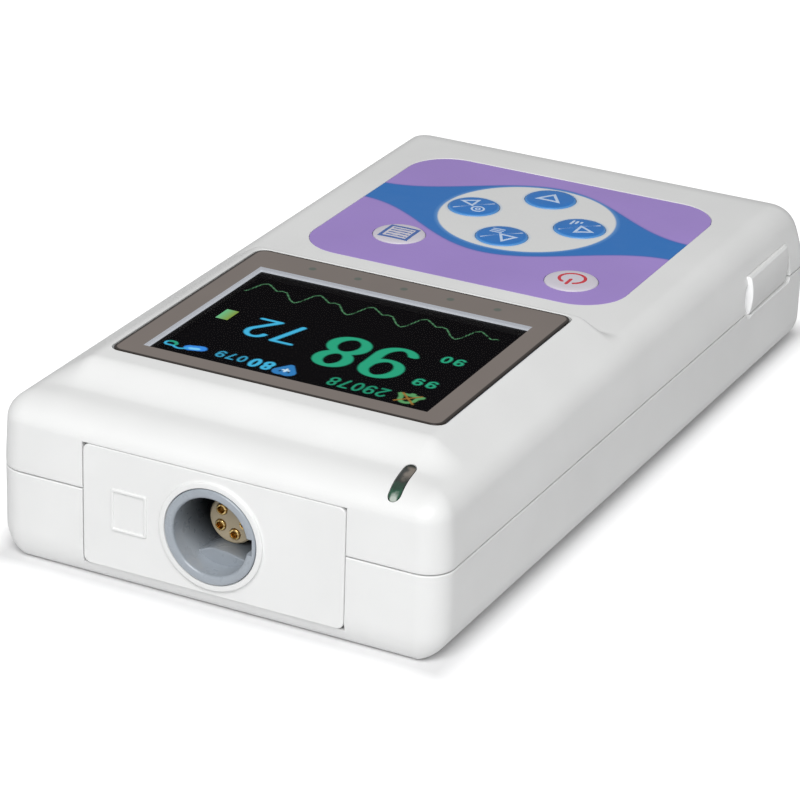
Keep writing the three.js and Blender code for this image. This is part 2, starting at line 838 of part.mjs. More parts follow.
function probeContact() {
  const back = socketBack - coreTail;
  const front = halfLength - coreInset + contactProud;
  const profile = [
    [0, back - contactTail],
    [contactTailRadius, back - contactTail],
    [contactTailRadius, back],
    [contactRadius, back],
    [contactRadius, front],
    [contactBore, front],
    [contactBore, front - contactBoreDepth],
    [0, front - contactBoreDepth],
  ];
  return turned(profile, smallSides);
}

function socketNut() {
  const front = panelBack - restGap;
  const hexagonSides = 6;
  const bore = socketBarrelRadius + restGap;
  return cut(
    rod(0, socketHeight, front - nutThickness, front, nutRadius, hexagonSides),
    rod(0, socketHeight, front - nutThickness - overrun, front + overrun, bore, fineSides),
  );
}

// Flat cable from the tails of the contacts up to its connector under the board
const ribbonNear = socketBack - coreTail - contactTail - fit - fit;
const connectorFace = ribbonNear - probeConnectorGap;

function probeRibbon() {
  const high = boardBottom - ribbonUnderBoard;
  const far = connectorFace + fit;
  return strip(
    [
      [ribbonNear - ribbonThickness, socketHeight - ribbonBelow],
      [ribbonNear, socketHeight - ribbonBelow],
      [ribbonNear, high],
      [far, high],
      [far, high - ribbonThickness],
      [ribbonNear - ribbonThickness, high - ribbonThickness],
    ],
    ribbonWidth, 0,
  );
}

function probeConnector() {
  const x = probeConnectorWidth / 2;
  const top = boardBottom - restGap / 2;
  return block(-x, x, connectorFace - probeConnectorLength, connectorFace, top - probeConnectorHeight, top);
}

// Port under the board, open toward the side, with its contact tongue
function usbSocket() {
  const y = usbWidth / 2;
  const back = usbFront + usbLength;
  const shell = block(usbFront, back, usbCentre - y, usbCentre + y, usbBottom, usbTop);
  const mouth = block(
    usbFront - overrun, back - usbWall, usbCentre - y + usbWall, usbCentre + y - usbWall,
    usbBottom + usbWall, usbTop - usbWall,
  );
  const middle = (usbBottom + usbTop) / 2;
  const half = usbTongueWidth / 2;
  const tongue = block(
    usbFront + usbTongueInset, back - usbWall / 2, usbCentre - half, usbCentre + half,
    middle - usbTongueHeight / 2, middle + usbTongueHeight / 2,
  );
  return join(cut(shell, mouth), tongue);
}

// Rubber flap, modelled round its hinge line: rounded at the hinge, with softened outer edges
function portCover() {
  const radius = coverThickness / 2;
  const length = coverLength - radius;
  const outline = new THREE.Shape();
  outline.absarc(0, 0, radius, Math.PI, Math.PI * 2, false);
  outline.lineTo(radius, length);
  outline.lineTo(-radius + coverEdge, length);
  outline.lineTo(-radius, length - coverEdge);
  const geometry = new THREE.ExtrudeGeometry(outline, {
    depth: coverHeight - coverEdge * 2, bevelEnabled: false, curveSegments: fineSides / 2,
  });
  const middle = geometry.translate(0, 0, coverEdge);
  const inner = block(-radius + coverEdge, radius, 0, length, 0, coverHeight);
  return join(middle, inner);
}

function screw() {
  const head = screwHeadDepth + screwHeadHeight;
  const end = boardTop + screwReach - boardThickness - fit;
  const profile = [
    [0, screwHeadDepth],
    [screwHeadRadius, screwHeadDepth],
    [screwHeadRadius, head],
    [screwRadius, head],
    [screwRadius, end],
    [0, end],
  ];
  return turned(profile, smallSides).rotateX(Math.PI / 2);
}

function batteryPack() {
  const x = batteryWidth / 2;
  return slab(-x, x, batteryFar, batteryNear, batteryCorner, batteryBottom, batteryBottom + batteryThickness);
}

const batteryMiddle = batteryBottom + batteryThickness / 2;

function batteryConnector() {
  const x = connectorWidth / 2;
  const z = connectorHeight / 2;
  const far = connectorNear - connectorThickness;
  return block(-x, x, far, connectorNear, batteryMiddle - z, batteryMiddle + z);
}

// Bowed leaf spring that presses on the end of the battery
function batterySpring(x) {
  const outline = new THREE.Shape();
  const start = Math.PI / 2;
  const end = Math.PI * 1.5;
  outline.absarc(0, 0, springRadius, start, end, false);
  outline.absarc(0, 0, springRadius - springThickness, end, start, true);
  const geometry = new THREE.ExtrudeGeometry(outline, {
    depth: springWidth, bevelEnabled: false, curveSegments: smallSides,
  });
  geometry.translate(0, 0, -springWidth / 2).rotateX(Math.PI / 2).rotateZ(Math.PI / 2);
  return geometry.translate(x, springNear, batteryMiddle);
}

// Colours and finishes
const white = [0xe9ebee, 0.42, 0];
const trayWhite = [0xd5d7d8, 0.5, 0];
const glassGrey = [0x7d736e, 0.15, 0];
const black = [0x141414, 0.3, 0];
const film = [0x8f76b8, 0.45, 0];
const keyBlue = [0x3f6fb0, 0.45, 0];
const keyWhite = [0xe4e4e8, 0.45, 0];
const smoky = [0x3f5247, 0.15, 0];
const rubber = [0xdfe1e4, 0.7, 0];
const socketGrey = [0x8c939b, 0.35, 0];
const beige = [0xcbb894, 0.5, 0];
const gold = [0xd4a94e, 0.3, 1];
const steel = [0xa9adb2, 0.35, 1];
const boardGreen = [0x24603c, 0.5, 0];
const chipBlack = [0x1c1d1f, 0.5, 0];
const cableOrange = [0xb8762c, 0.5, 0];
const batteryBlue = [0x2c4a7c, 0.5, 0];

const oximeter = new THREE.Group();
oximeter.name = 'oximeter';

function add(name, geometry, [color, roughness, metalness], x = 0, y = 0, z = 0) {
  const material = new THREE.MeshStandardMaterial({ color, roughness, metalness, flatShading: true });
  const mesh = new THREE.Mesh(geometry, material);
  mesh.name = name;
  mesh.position.set(x, y, z);
  oximeter.add(mesh);
}

add('front_shell', frontShell(), white);
add('rear_shell', rearShell(), white);
add('end_panel', endPanel(), white);
add('display_window', displayWindow(), glassGrey);
add('lcd_panel', displayPanel(), black);
add('lcd_tray', displayTray(), trayWhite);
add('lcd_holder', displayHolder(), chipBlack);
add('lcd_flex', displayFlex(), cableOrange);
add('keypad_overlay', keypadOverlay(), film);
keyPlaces.forEach(([name, x, y], index) => {
  add(`key_${name}`, key(), index < 2 ? keyWhite : keyBlue, x, y);
  add(`switch_${name}`, tactSwitch(), chipBlack, x, y);
});
add('main_board', mainBoard(), boardGreen);
const processorX = -halfWidth + processorIn;
const analogX = -halfWidth + analogIn;
add('processor_chip', chip(processorX, bayNear + processorRow, processorWidth, processorHeight), chipBlack);
add('analog_chip', chip(analogX, connectorFace - analogRow, analogWidth, analogHeight), chipBlack);
add('buzzer', buzzer(), chipBlack);
add('status_led', statusLed(), trayWhite);
add('light_pipe', common(pipeBar(0, boardTop + pipeFoot), outerForm), smoky);
add('usb_socket', usbSocket(), steel);
const hingeX = coverInner - coverThickness / 2;
const hingeY = coverFarEnd + coverThickness / 2;
add('port_cover', portCover(), rubber, hingeX, hingeY, coverBottom);
add('probe_socket', probeSocket(), socketGrey);
add('socket_insulator', socketInsulator(), beige);
contactPlaces().forEach(([x, z], index) => {
  add(`probe_contact_${index + 1}`, probeContact(), gold, x, 0, z);
});
add('socket_nut', socketNut(), steel);
add('probe_ribbon', probeRibbon(), cableOrange);
add('probe_connector', probeConnector(), trayWhite);
add('battery_door', batteryDoor(), white);
add('battery_pack', batteryPack(), batteryBlue);
add('battery_connector', batteryConnector(), chipBlack);
for (let index = 0; index < springCount; index += 1) {
  const x = (index - (springCount - 1) / 2) * springPitch;
  add(`battery_spring_${index + 1}`, batterySpring(x), gold);
}
screwPlaces.forEach(([name, x, y]) => {
  add(`case_screw_${name}`, screw(), steel, x, y);
});

// The origin lies under the middle of everything, the port cover and the socket's flange included.
oximeter.position.set(0, -socketProud / 2, 0);

export default oximeter;
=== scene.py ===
"""Looks of a handheld pulse oximeter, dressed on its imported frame.

Laid out as an add-on and run as a script. Lengths are in metres. Shapes are worked out in case coordinates:
X and Y from the middle of the case and Z from the surface it lies on, and body() moves them into the frame.
"""
import functools
import math

import bmesh
import bpy
import numpy as np
from bpy.props import FloatProperty, FloatVectorProperty, IntProperty, PointerProperty
from bpy.types import Operator, Panel, PropertyGroup
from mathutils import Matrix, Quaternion, Vector


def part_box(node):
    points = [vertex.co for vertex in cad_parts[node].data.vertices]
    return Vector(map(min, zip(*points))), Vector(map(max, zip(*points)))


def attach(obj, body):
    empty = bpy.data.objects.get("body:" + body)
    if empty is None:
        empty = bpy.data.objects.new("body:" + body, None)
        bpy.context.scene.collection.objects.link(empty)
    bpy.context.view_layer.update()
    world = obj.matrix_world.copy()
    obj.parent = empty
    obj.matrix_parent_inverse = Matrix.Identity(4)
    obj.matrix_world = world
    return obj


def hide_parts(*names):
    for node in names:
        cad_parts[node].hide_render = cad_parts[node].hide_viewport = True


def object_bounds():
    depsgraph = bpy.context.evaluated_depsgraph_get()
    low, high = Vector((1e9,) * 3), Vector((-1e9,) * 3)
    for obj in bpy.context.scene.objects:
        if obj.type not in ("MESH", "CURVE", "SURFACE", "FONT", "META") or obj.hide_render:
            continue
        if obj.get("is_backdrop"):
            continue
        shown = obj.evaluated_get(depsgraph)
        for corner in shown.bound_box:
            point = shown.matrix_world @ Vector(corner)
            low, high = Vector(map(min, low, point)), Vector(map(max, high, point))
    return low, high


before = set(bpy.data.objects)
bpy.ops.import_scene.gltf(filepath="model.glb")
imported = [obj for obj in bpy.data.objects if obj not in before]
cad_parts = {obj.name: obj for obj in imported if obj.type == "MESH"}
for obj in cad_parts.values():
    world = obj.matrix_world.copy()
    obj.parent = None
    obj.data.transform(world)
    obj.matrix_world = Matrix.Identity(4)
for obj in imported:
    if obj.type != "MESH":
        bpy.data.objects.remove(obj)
CAD_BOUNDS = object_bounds()

bl_info = {
    "name": "Handheld pulse oximeter",
    "version": (1, 0, 0),
    "blender": (4, 5, 0),
    "location": "View3D > Sidebar > Oximeter",
    "description": "Dresses a packed handheld pulse oximeter",
    "category": "Object",
}

MM = 0.001
QUARTER = math.pi / 2
CASE_LOW, CASE_HIGH = (np.array(corner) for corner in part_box("front_shell"))
CENTRE = np.array([*((CASE_LOW + CASE_HIGH) / 2)[:2], 0.0])
HALF_Y = (CASE_HIGH - CASE_LOW)[1] / 2
TOP = CASE_HIGH[2]


def place_of(node):
    """Lowest and highest corner of a CAD node, in case coordinates."""
    low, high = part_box(node)
    return np.array(low) - CENTRE, np.array(high) - CENTRE


def middle_of(node):
    """Middle of a CAD node, in case coordinates."""
    low, high = place_of(node)
    return (low + high) / 2


# What several pieces share: how deep the film lies and how far the case's side stands past it, half the gap
# of the parting line, the least corner of a plan, the steep part's share of the raised end's fall, and the
# angle past which an edge stays sharp
FILM_SUNK = 0.05 * MM
FILM_ASIDE = 6.8 * MM
HALF_SEAM = 0.08 * MM
LEAST_CORNER = 0.3 * MM
KEYPAD_TOP = place_of("keypad_overlay")[1][2] + FILM_SUNK
PARTING = CASE_LOW[2] - HALF_SEAM
HALF_X = place_of("keypad_overlay")[1][0] + FILM_ASIDE
STEEP_SHARE = 0.86
SHARP_ANGLE = math.radians(30)
SOCKET_Z = middle_of("probe_socket")[2]
CASE_SCREWS = sorted(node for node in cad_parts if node.startswith("case_screw"))
CONTACTS = sorted(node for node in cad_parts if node.startswith("probe_contact"))
SCREW_PLACES = [middle_of(name)[:2] for name in CASE_SCREWS]
KEY_NAMES = ("menu", "power", "up", "down", "left", "right")
ARROWS_Y = (middle_of("key_up")[1] + middle_of("key_down")[1]) / 2

# Lens of the lamp, in plan: its middle from the case's side and end, its half sizes and its turn
LENS_ASIDE = 7 * MM
LENS_BACK = 4.1 * MM
LENS_HALF_LENGTH = 3.2 * MM
LENS_HALF_WIDTH = 0.7 * MM
LENS_TURN = math.radians(6.5)

# Inside of the front: the lip's height in its rebate, where cuts from above and the pilot holes end, and the
# radius of the seats' edges
LIP_HEIGHT = 1.2 * MM
UNDER_ROOF = 15 * MM
PILOT_END = 18.9 * MM
SEAT_ROUND = 0.12 * MM

# Posts inside the case: how far aside, their places along Y, and the heights at which they hold the board
POST_ASIDE = 24.4 * MM
POST_PLACES = [(x, y) for x in (-POST_ASIDE, POST_ASIDE) for y in (-26 * MM, 30 * MM)]
LOWER_POST_TOP = 13.8 * MM
UPPER_POST_FOOT = 15.6 * MM

# Battery bay and door: the bay's wall, the top of the door's end wall, the door's plate and the gap round it,
# and a place beyond the case's end where cuts start
BAY_WALL = 1.45 * MM
DOOR_END_TOP = 8 * MM
DOOR_PLATE = 1.6 * MM
DOOR_GAP = 0.15 * MM
PAST_END = -HALF_Y - 2 * MM


def length(name, description, default):
    """A property for a size in metres."""
    return FloatProperty(name=name, description=description, default=default, unit="LENGTH", precision=5)


def colour(name, description, default):
    """A property for a linear colour."""
    return FloatVectorProperty(
        name=name, description=description, default=default, subtype="COLOR", size=3, min=0, max=1
    )


class HousingSizes(PropertyGroup):
    """Sizes of the moulded case."""

    shoulder: length("Shoulder", "Radius of the long upper edges", 3 * MM)
    end_run: length("Near shoulder", "How far the upper edge of the socket end is drawn in", 4.8 * MM)
    far_run: length("Far shoulder", "How far the upper edge of the keypad end is drawn in", 7 * MM)
    far_drop: length("Far drop", "Height of the shoulder of the keypad end", 4.5 * MM)
    base: length("Base radius", "Radius of the long lower edges", 4.4 * MM)
    base_run: length("Base run", "How far the lower edge of each end is drawn in", 2.2 * MM)
    flare_far: length("Far flare", "How much wider each side is at the keypad end's parting line", 2.08 * MM)
    flare_near: length("Near flare", "How much wider each side is at the socket end's parting line", 0.4 * MM)
    corner: length("Corner radius", "Radius of the upright edges", 3.5 * MM)
    wall: length("Wall", "Thickness of the shells", 1.8 * MM)
    lip: length("Lip", "Thickness of the lip inside the parting line", 0.7 * MM)
    seam_round: length("Seam round", "Radius of both edges of the parting line", 0.18 * MM)
    mouth_round: length("Mouth round", "Radius of the edges of recesses", 0.22 * MM)
    ear: length("Ear", "How far each ear of the end plate reaches into the shells' slots", 1.2 * MM)
    screw_bore: length("Screw bore", "Radius of the screw holes in the rear shell", 1.2 * MM)
    pilot: length("Pilot hole", "Radius of the screw holes in the front shell", 1.15 * MM)
    display_half: length("Display flat", "Half width of the flat of the raised end", 23.5 * MM)
    display_far: length("Display foot", "Where the raised end starts to rise, along Y", 1.6 * MM)
    display_climb: length("Display climb", "How far along Y the raised end takes to rise", 3.4 * MM)
    display_near: length("Display fall", "Where the raised end starts to fall toward the socket", 46.4 * MM)
    display_drop: length("Display drop", "How far along Y the steep part of the fall takes", 5.4 * MM)
    display_tail: length("Display tail", "How far past its start the fall's slow part starts", 3.6 * MM)
    edge_soft: length("Edge softness", "Reach of the rounding along the raised end's sides", 0.55 * MM)
    post: length("Post radius", "Radius of the inner posts", 1.5 * MM)
    boss: length("Boss radius", "Radius of the screw bosses", 2.9 * MM)


class ScreenSizes(PropertyGroup):
    """Sizes of the window and what lies under it."""

    clear_half: length("Clear half width", "Half width of the clear part of the window", 19.6 * MM)
    clear_far: length("Clear far edge", "Far edge of the clear part, along Y", 10.9 * MM)
    clear_near: length("Clear near edge", "Near edge of the clear part, along Y", 40.8 * MM)
    window_corner: length("Window corner", "Corner radius of the window", 1.5 * MM)
    flange: length("Frame flange", "How far the frame's flange reaches past it along Y", 1.6 * MM)
    glass_reach: length("Glass reach", "How far the glass reaches past its pixels to the keypad", 0.9 * MM)
    dot_pitch: length("Dot pitch", "Distance between the lamp dots in the border", 6.7 * MM)
    dot_radius: length("Dot radius", "Radius of the lamp dots", 0.5 * MM)
    pixel: length("Pixel", "Pitch of the display's pixels", 0.175 * MM)
    columns: IntProperty(name="Columns", description="Pixels across the display", default=224)
    rows: IntProperty(name="Rows", description="Pixels up the display", default=168)


class KeypadSizes(PropertyGroup):
    """Sizes of the printed film and the keys."""

    label_corner: length("Film corner", "Corner radius of the film", 6.5 * MM)
    band_half: length("Band half width", "Half width of the blue band at the film's sides", 3.2 * MM)
    band_swell: length("Band swell", "How much the band widens on each side in the middle", 10.5 * MM)
    band_wave: length("Band wave", "Distance between the narrow ends of the band", 47 * MM)
    disc: length("Disc radius", "Radius of the white disc", 12.4 * MM)
    cap: length("Cap radius", "Radius of a key's cap", 3.65 * MM)
    arrow_reach: length("Arrow reach", "From the middle of the arrow keys to each of them", 8.1 * MM)
    stroke: length("Stroke", "Width of the lines printed on the keys", 0.44 * MM)


class SocketSizes(PropertyGroup):
    """Sizes of the probe socket."""

    flange: length("Flange radius", "Outer radius of the grey ring", 6.2 * MM)
    bore: length("Bore radius", "Radius of the bore", 5.05 * MM)
    barrel: length("Barrel radius", "Radius of the barrel behind the ring", 5.7 * MM)
    ring: length("Ring radius", "Outer radius of the white ring round the socket", 7.05 * MM)
    proud: length("Ring height", "How far the white ring stands over the end plate", 0.4 * MM)
    core: length("Core radius", "Radius of the insulator", 3.1 * MM)
    contact: length("Contact radius", "Outer radius of a contact", 0.7 * MM)
    contact_bore: length("Contact bore", "Radius of the hole in a contact", 0.43 * MM)


class FinishColours(PropertyGroup):
    """Colours of the mouldings, prints and metals."""

    white: colour("Case white", "Moulded shells", (0.808, 0.813, 0.808))
    taupe: colour("Window border", "Print behind the window", (0.195, 0.165, 0.148))
    violet: colour("Film violet", "Field of the keypad film", (0.37, 0.25, 0.64))
    blue: colour("Film blue", "Band of the film and the four keys", (0.014, 0.168, 0.53))
    red: colour("Print red", "Symbol of the power key", (0.62, 0.03, 0.05))
    ink: colour("Print pale", "Symbols of the blue keys", (0.55, 0.68, 0.88))
    socket: colour("Socket grey", "Ring and bore of the probe socket", (0.33, 0.365, 0.405))
    beige: colour("Core beige", "Insulator of the socket", (0.56, 0.47, 0.32))
    gold: colour("Contact gold", "Plated contacts", (0.95, 0.68, 0.28))
    smoke: colour("Lamp lens", "Smoky lens of the lamp", (0.012, 0.017, 0.013))
    steel: colour("Steel", "Plated screws, nut and port", (0.58, 0.58, 0.59))


def sizes(group):
    """The sizes or colours of one group, as the scene holds them."""
    return getattr(bpy.context.scene, "oximeter_" + group)


# Shapes as whole arrays


def rounded(x0, x1, y0, y1, radius, steps=8):
    """Rectangle with round corners, anticlockwise, as pairs: a corner is centre + radius (cos a, sin a)."""
    turn = np.linspace(0, QUARTER, steps + 1)
    corners = (
        (x1 - radius, y0 + radius, -QUARTER),
        (x1 - radius, y1 - radius, 0),
        (x0 + radius, y1 - radius, QUARTER),
        (x0 + radius, y0 + radius, 2 * QUARTER),
    )
    return np.concatenate([
        np.column_stack((x + radius * np.cos(start + turn), y + radius * np.sin(start + turn)))
        for x, y, start in corners
    ])


def circle(x, y, radius, sides=64):
    """Points at centre + radius (cos a, sin a), anticlockwise."""
    turn = np.linspace(0, 4 * QUARTER, sides, endpoint=False)
    return np.column_stack((x + radius * np.cos(turn), y + radius * np.sin(turn)))


def at(outline, height):
    """The outline with its third coordinate, one height or one for each point."""
    return np.column_stack((outline, np.broadcast_to(height, len(outline))))


def stack(levels):
    """Closed body through outlines of equal count: quads between neighbours and a flat face at each end."""
    rows = len(levels)
    count = len(levels[0])
    here = np.arange((rows - 1) * count).reshape(rows - 1, count)
    beside = np.roll(here, -1, axis=1)
    quads = np.stack((here, beside, beside + count, here + count), axis=-1).reshape(-1, 4)
    ends = [list(range(count))[::-1], list(range((rows - 1) * count, rows * count))]
    return np.concatenate(levels), quads.tolist() + ends


def looped(levels):
    """Closed ring through outlines of equal count, the last joined to the first."""
    points, faces = stack(levels)
    count = len(levels[0])
    last = (len(levels) - 1) * count
    here = np.arange(count)
    beside = np.roll(here, -1)
    return points, faces[:-2] + np.stack((last + here, last + beside, beside, here), axis=-1).tolist()


def turned(profile, x, y, along, sides):
    """One circle for each pair of radius and distance, radius (cos a, sin a) round an axis through x, y, or
    through x, z where it runs along Y."""
    turn = np.linspace(0, 4 * QUARTER, sides, endpoint=False)
    profile = np.array(profile)
    first = x + profile[:, :1] * np.cos(turn)
    second = y + profile[:, :1] * np.sin(turn)
    third = np.repeat(profile[:, 1:], sides, axis=1)
    order = (first, second, third) if along == "Z" else (first, third, second)
    return list(np.stack(order, axis=-1))


def spun(profile, x, y, along="Z", sides=96):
    """Revolves a profile that starts and ends on the axis."""
    points, faces = stack(turned(profile, x, y, along, sides))
    return points, faces[:-2]


def hoop(profile, x, y, along, sides):
    """Revolves a closed profile that doesn't touch the axis, which gives a ring."""
    return looped(turned(profile, x, y, along, sides))


def eased(radius, end, run, drop, count=6):
    """Round corner of a profile, from side to end: radius - run (1 - cos a), end - drop (1 - sin a)."""
    turn = np.linspace(0, QUARTER, count)
    return list(zip(radius - run * (1 - np.cos(turn)), end - drop * (1 - np.sin(turn))))


def plan_turn(turn):
    """Matrix that turns pairs anticlockwise by an angle."""
    return np.array([[math.cos(turn), math.sin(turn)], [-math.sin(turn), math.cos(turn)]])


def axes(shape, order):
    """The shape with its coordinates in another order, such as (0, 2, 1) to stand it up."""
    points, faces = shape
    return points[:, order], faces


def block(x0, x1, y0, y1, z0, z1):
    """Plain box between six places."""
    corners = np.array([(x0, y0), (x1, y0), (x1, y1), (x0, y1)])
    return stack([at(corners, z0), at(corners, z1)])


def drum(x, y, z0, z1, radius, sides=64):
    """Upright cylinder between two heights."""
    return stack([at(circle(x, y, radius, sides), z0), at(circle(x, y, radius, sides), z1)])


def flared(outline, floor, mouth, radius, lift, turn_end=math.radians(72), steps=5):
    """Tool for a recess with a round edge: outline(offset) from the floor to the mouth less the radius, then
    a circle, offset radius (1 - cos a) and height radius sin a, left on its tangent past the mouth."""
    turns = np.linspace(0, turn_end, steps + 1)
    way = 1 if mouth > floor else -1
    levels = [at(outline(0), floor)]
    for turn in turns:
        rise = radius * (math.sin(turn) - 1)
        levels.append(at(outline(radius * (1 - math.cos(turn))), mouth + way * rise))
    reach = radius * (1 - math.cos(turn_end)) + lift / math.tan(turn_end)
    levels.append(at(outline(reach), mouth + way * (radius * (math.sin(turn_end) - 1) + lift)))
    return stack(levels)


def pillow(outline, bottom, top, low_round, high_round, steps=5):
    """Closed slab whose lower and upper edges are quarter circles, drawn in by radius (1 - sin a)."""
    levels = []
    for step in range(steps + 1):
        turn = QUARTER * step / steps
        draw = low_round * (1 - math.sin(turn))
        levels.append(at(outline(-draw), bottom + low_round * (1 - math.cos(turn))))
    for step in range(steps + 1):
        turn = QUARTER * step / steps
        draw = high_round * (1 - math.cos(turn))
        levels.append(at(outline(-draw), top - high_round * (1 - math.sin(turn))))
    return stack(levels)


def seat(low, high, gap, corner, steps=8):
    """Outline of a plate with a gap round it, as a function of the offset by which it widens."""
    def outline(offset):
        wide = gap + offset
        return rounded(low[0] - wide, high[0] + wide, low[1] - wide, high[1] + wide, corner + wide, steps)
    return outline


def plaque(low, high, corner, steps, low_round, high_round):
    """Flat slab between two corners, its upright edges round and its lower and upper edges eased."""
    return pillow(seat(low, high, 0, corner, steps), low[2], high[2], low_round, high_round)


def body(name, *shapes):
    """One mesh object from closed shapes in case coordinates, its doubles merged and its faces outward."""
    points = []
    faces = []
    start = 0
    for shape_points, shape_faces in shapes:
        points.append(shape_points + CENTRE)
        faces += [[start + corner for corner in face] for face in shape_faces]
        start += len(shape_points)
    mesh = bpy.data.meshes.new(name)
    mesh.from_pydata(np.concatenate(points), [], faces)
    work = bmesh.new()
    work.from_mesh(mesh)
    bmesh.ops.remove_doubles(work, verts=work.verts, dist=1e-7)
    bmesh.ops.recalc_face_normals(work, faces=work.faces)
    work.to_mesh(mesh)
    work.free()
    piece = bpy.data.objects.new(name, mesh)
    bpy.context.scene.collection.objects.link(piece)
    return piece


def settle(piece):
    """Puts what the modifiers make into the mesh and removes them."""
    bpy.context.view_layer.update()
    depsgraph = bpy.context.evaluated_depsgraph_get()
    mesh = bpy.data.meshes.new_from_object(piece.evaluated_get(depsgraph))
    piece.modifiers.clear()
    piece.data = mesh
    mesh.name = piece.name


def carve(piece, operation, *tools):
    """Joins, cuts or trims the piece with closed tools, each a shape or a piece, and removes the tools."""
    used = [tool if isinstance(tool, bpy.types.Object) else body("tool", tool) for tool in tools]
    for tool in used:
        modifier = piece.modifiers.new("carve", "BOOLEAN")
        modifier.operation = operation
        modifier.solver = "MANIFOLD"
        modifier.object = tool
    settle(piece)
    for tool in used:
        bpy.data.objects.remove(tool)
    return piece


def dress(piece, rides_on, slot, material, *nodes):
    """Smooths the piece, gives it its material and body, and hides the nodes that it stands for; its slot is
    not used.
    """
    piece.data.shade_smooth()
    piece.data.set_sharp_from_angle(angle=SHARP_ANGLE)
    modifier = piece.modifiers.new("shading", "WEIGHTED_NORMAL")
    modifier.keep_sharp = True
    modifier.weight = 100
    settle(piece)
    piece.data.materials.clear()
    piece.data.materials.append(material)
    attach(piece, rides_on)
    if nodes:
        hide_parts(*nodes)
    return piece


# Materials


class Value:
    """An output socket on which sums, products and comparisons write their own Math nodes."""

    def __init__(self, finish, socket):
        self.finish = finish
        self.socket = socket

    def __add__(self, other):
        return self.finish.math("ADD", self, other)

    __radd__ = __add__

    def __sub__(self, other):
        return self.finish.math("SUBTRACT", self, other)

    def __rsub__(self, other):
        return self.finish.math("SUBTRACT", other, self)

    def __mul__(self, other):
        return self.finish.math("MULTIPLY", self, other)

    __rmul__ = __mul__

    def __truediv__(self, other):
        return self.finish.math("DIVIDE", self, other)

    def __abs__(self):
        return self.finish.math("ABSOLUTE", self)

    def __gt__(self, other):
        return self.finish.math("GREATER_THAN", self, other)


class Finish:
    """Writes one material."""

    def __init__(self, name):
        self.material = bpy.data.materials.new(name)
        self.material.use_nodes = True
        self.tree = self.material.node_tree
        self.tree.nodes.clear()
        self.places = None

    def node(self, kind, inputs=None, output=0, **settings):
        """One output of a new node of a type, with its settings and the values or links of its sockets."""
        made = self.tree.nodes.new("ShaderNode" + kind)
        for setting, value in settings.items():
            setattr(made, setting, value)
        for key, value in (inputs or {}).items():
            if isinstance(value, Value):
                self.tree.links.new(value.socket, made.inputs[key])
            else:
                made.inputs[key].default_value = value
        return Value(self, made.outputs[output])

    def math(self, operation, *values):
        """A Math node on values and numbers."""
        return self.node("Math", dict(enumerate(values)), operation=operation)

    def mix(self, share, first, second):
        """Colour between two colours."""
        return self.node("Mix", {0: share, 6: opaque(first), 7: opaque(second)}, 2, data_type="RGBA")

    def within(self, value, edge, soft):
        """1 where the value is under the edge and 0 past it, with a straight run over the soft length."""
        inputs = {"Value": value, "From Min": edge + soft / 2, "From Max": edge - soft / 2}
        return self.node("MapRange", inputs, clamp=True)

    def place(self):
        """Millimetres in case coordinates, from the Object coordinates."""
        if self.places is None:
            found = self.node("TexCoord", output="Object")
            self.places = self.node("Mapping", {
                "Vector": found,
                "Location": tuple(-CENTRE / MM),
                "Scale": (1 / MM, 1 / MM, 1 / MM),
            })
        return self.places

    def split(self):
        """The three coordinates, each as a value."""
        parts = self.node("SeparateXYZ", {0: self.place()}).socket.node
        return [Value(self, parts.outputs[axis]) for axis in range(3)]

    def noise(self, size, detail=2.0, stretch=(1, 1, 1)):
        """Noise from 0 to 1 whose spots are about size millimetres across."""
        vector = self.place()
        if stretch != (1, 1, 1):
            vector = self.node("VectorMath", {0: vector, 1: stretch}, operation="MULTIPLY")
        return self.node("TexNoise", {"Vector": vector, "Scale": 1 / size, "Detail": detail})

    def spread(self, value, low, high):
        """Stretches the middle of a noise to run from low to high."""
        inputs = {"Value": value, "From Min": 0.3, "From Max": 0.7, "To Min": low, "To Max": high}
        return self.node("MapRange", inputs, clamp=True)

    def bump(self, height, depth):
        """Normal of a height from 0 to 1 that is depth metres deep."""
        return self.node("Bump", {"Height": height, "Distance": depth, "Strength": 1.0})

    def surface(self, shader):
        """Ends the material with the shader."""
        made = self.tree.nodes.new("ShaderNodeOutputMaterial")
        self.tree.links.new(shader.socket, made.inputs["Surface"])
        return self.material

    def plastic(self, inputs):
        """Ends the material with one Principled shader."""
        return self.surface(self.node("BsdfPrincipled", inputs, "BSDF"))


def opaque(value):
    """A colour of three numbers with an alpha of 1, and anything else as it is."""
    return (*value, 1.0) if isinstance(value, (tuple, list)) and len(value) == 3 else value


def paint(name):
    """A colour of the finishes as a tuple."""
    return tuple(getattr(sizes("finishes"), name))


def shade(tone, factor):
    """The tone, darker or lighter by a factor."""
    return tuple(min(channel * factor, 1.0) for channel in tone)


def once(title, make):
    """The finish of that title, written by make(finish) at its first use."""
    name = "made_" + title
    return bpy.data.materials.get(name) or make(Finish(name))


def titled(title):
    """Turns a function that writes a finish into one that hands out its material."""
    def wrap(make):
        return functools.wraps(make)(lambda: once(title, make))
    return wrap


def moulded(finish, tone, roughness=0.42, grain=0.22, depth=0.006 * MM, drift=0.03):
    """Moulded plastic: fine spark grain in the bump, slow drift of tone, and gloss that wanders."""
    slow = finish.noise(14, 2)
    fine = finish.noise(grain, 3)
    flow = finish.noise(3.5, 2, (1, 0.35, 1))
    tint = finish.mix(finish.spread(slow, 0, 1), shade(tone, 1 - drift), shade(tone, 1 + drift / 2))
    gloss = finish.spread(flow, roughness - 0.04, roughness + 0.05)
    return finish.plastic({
        "Base Color": tint,
        "Roughness": gloss,
        "Normal": finish.bump(fine + 0.25 * flow, depth),
    })


@titled("case_white")
def case_white(finish):
    """White of the shells, fine-grained."""
    return moulded(finish, paint("white"), 0.4)


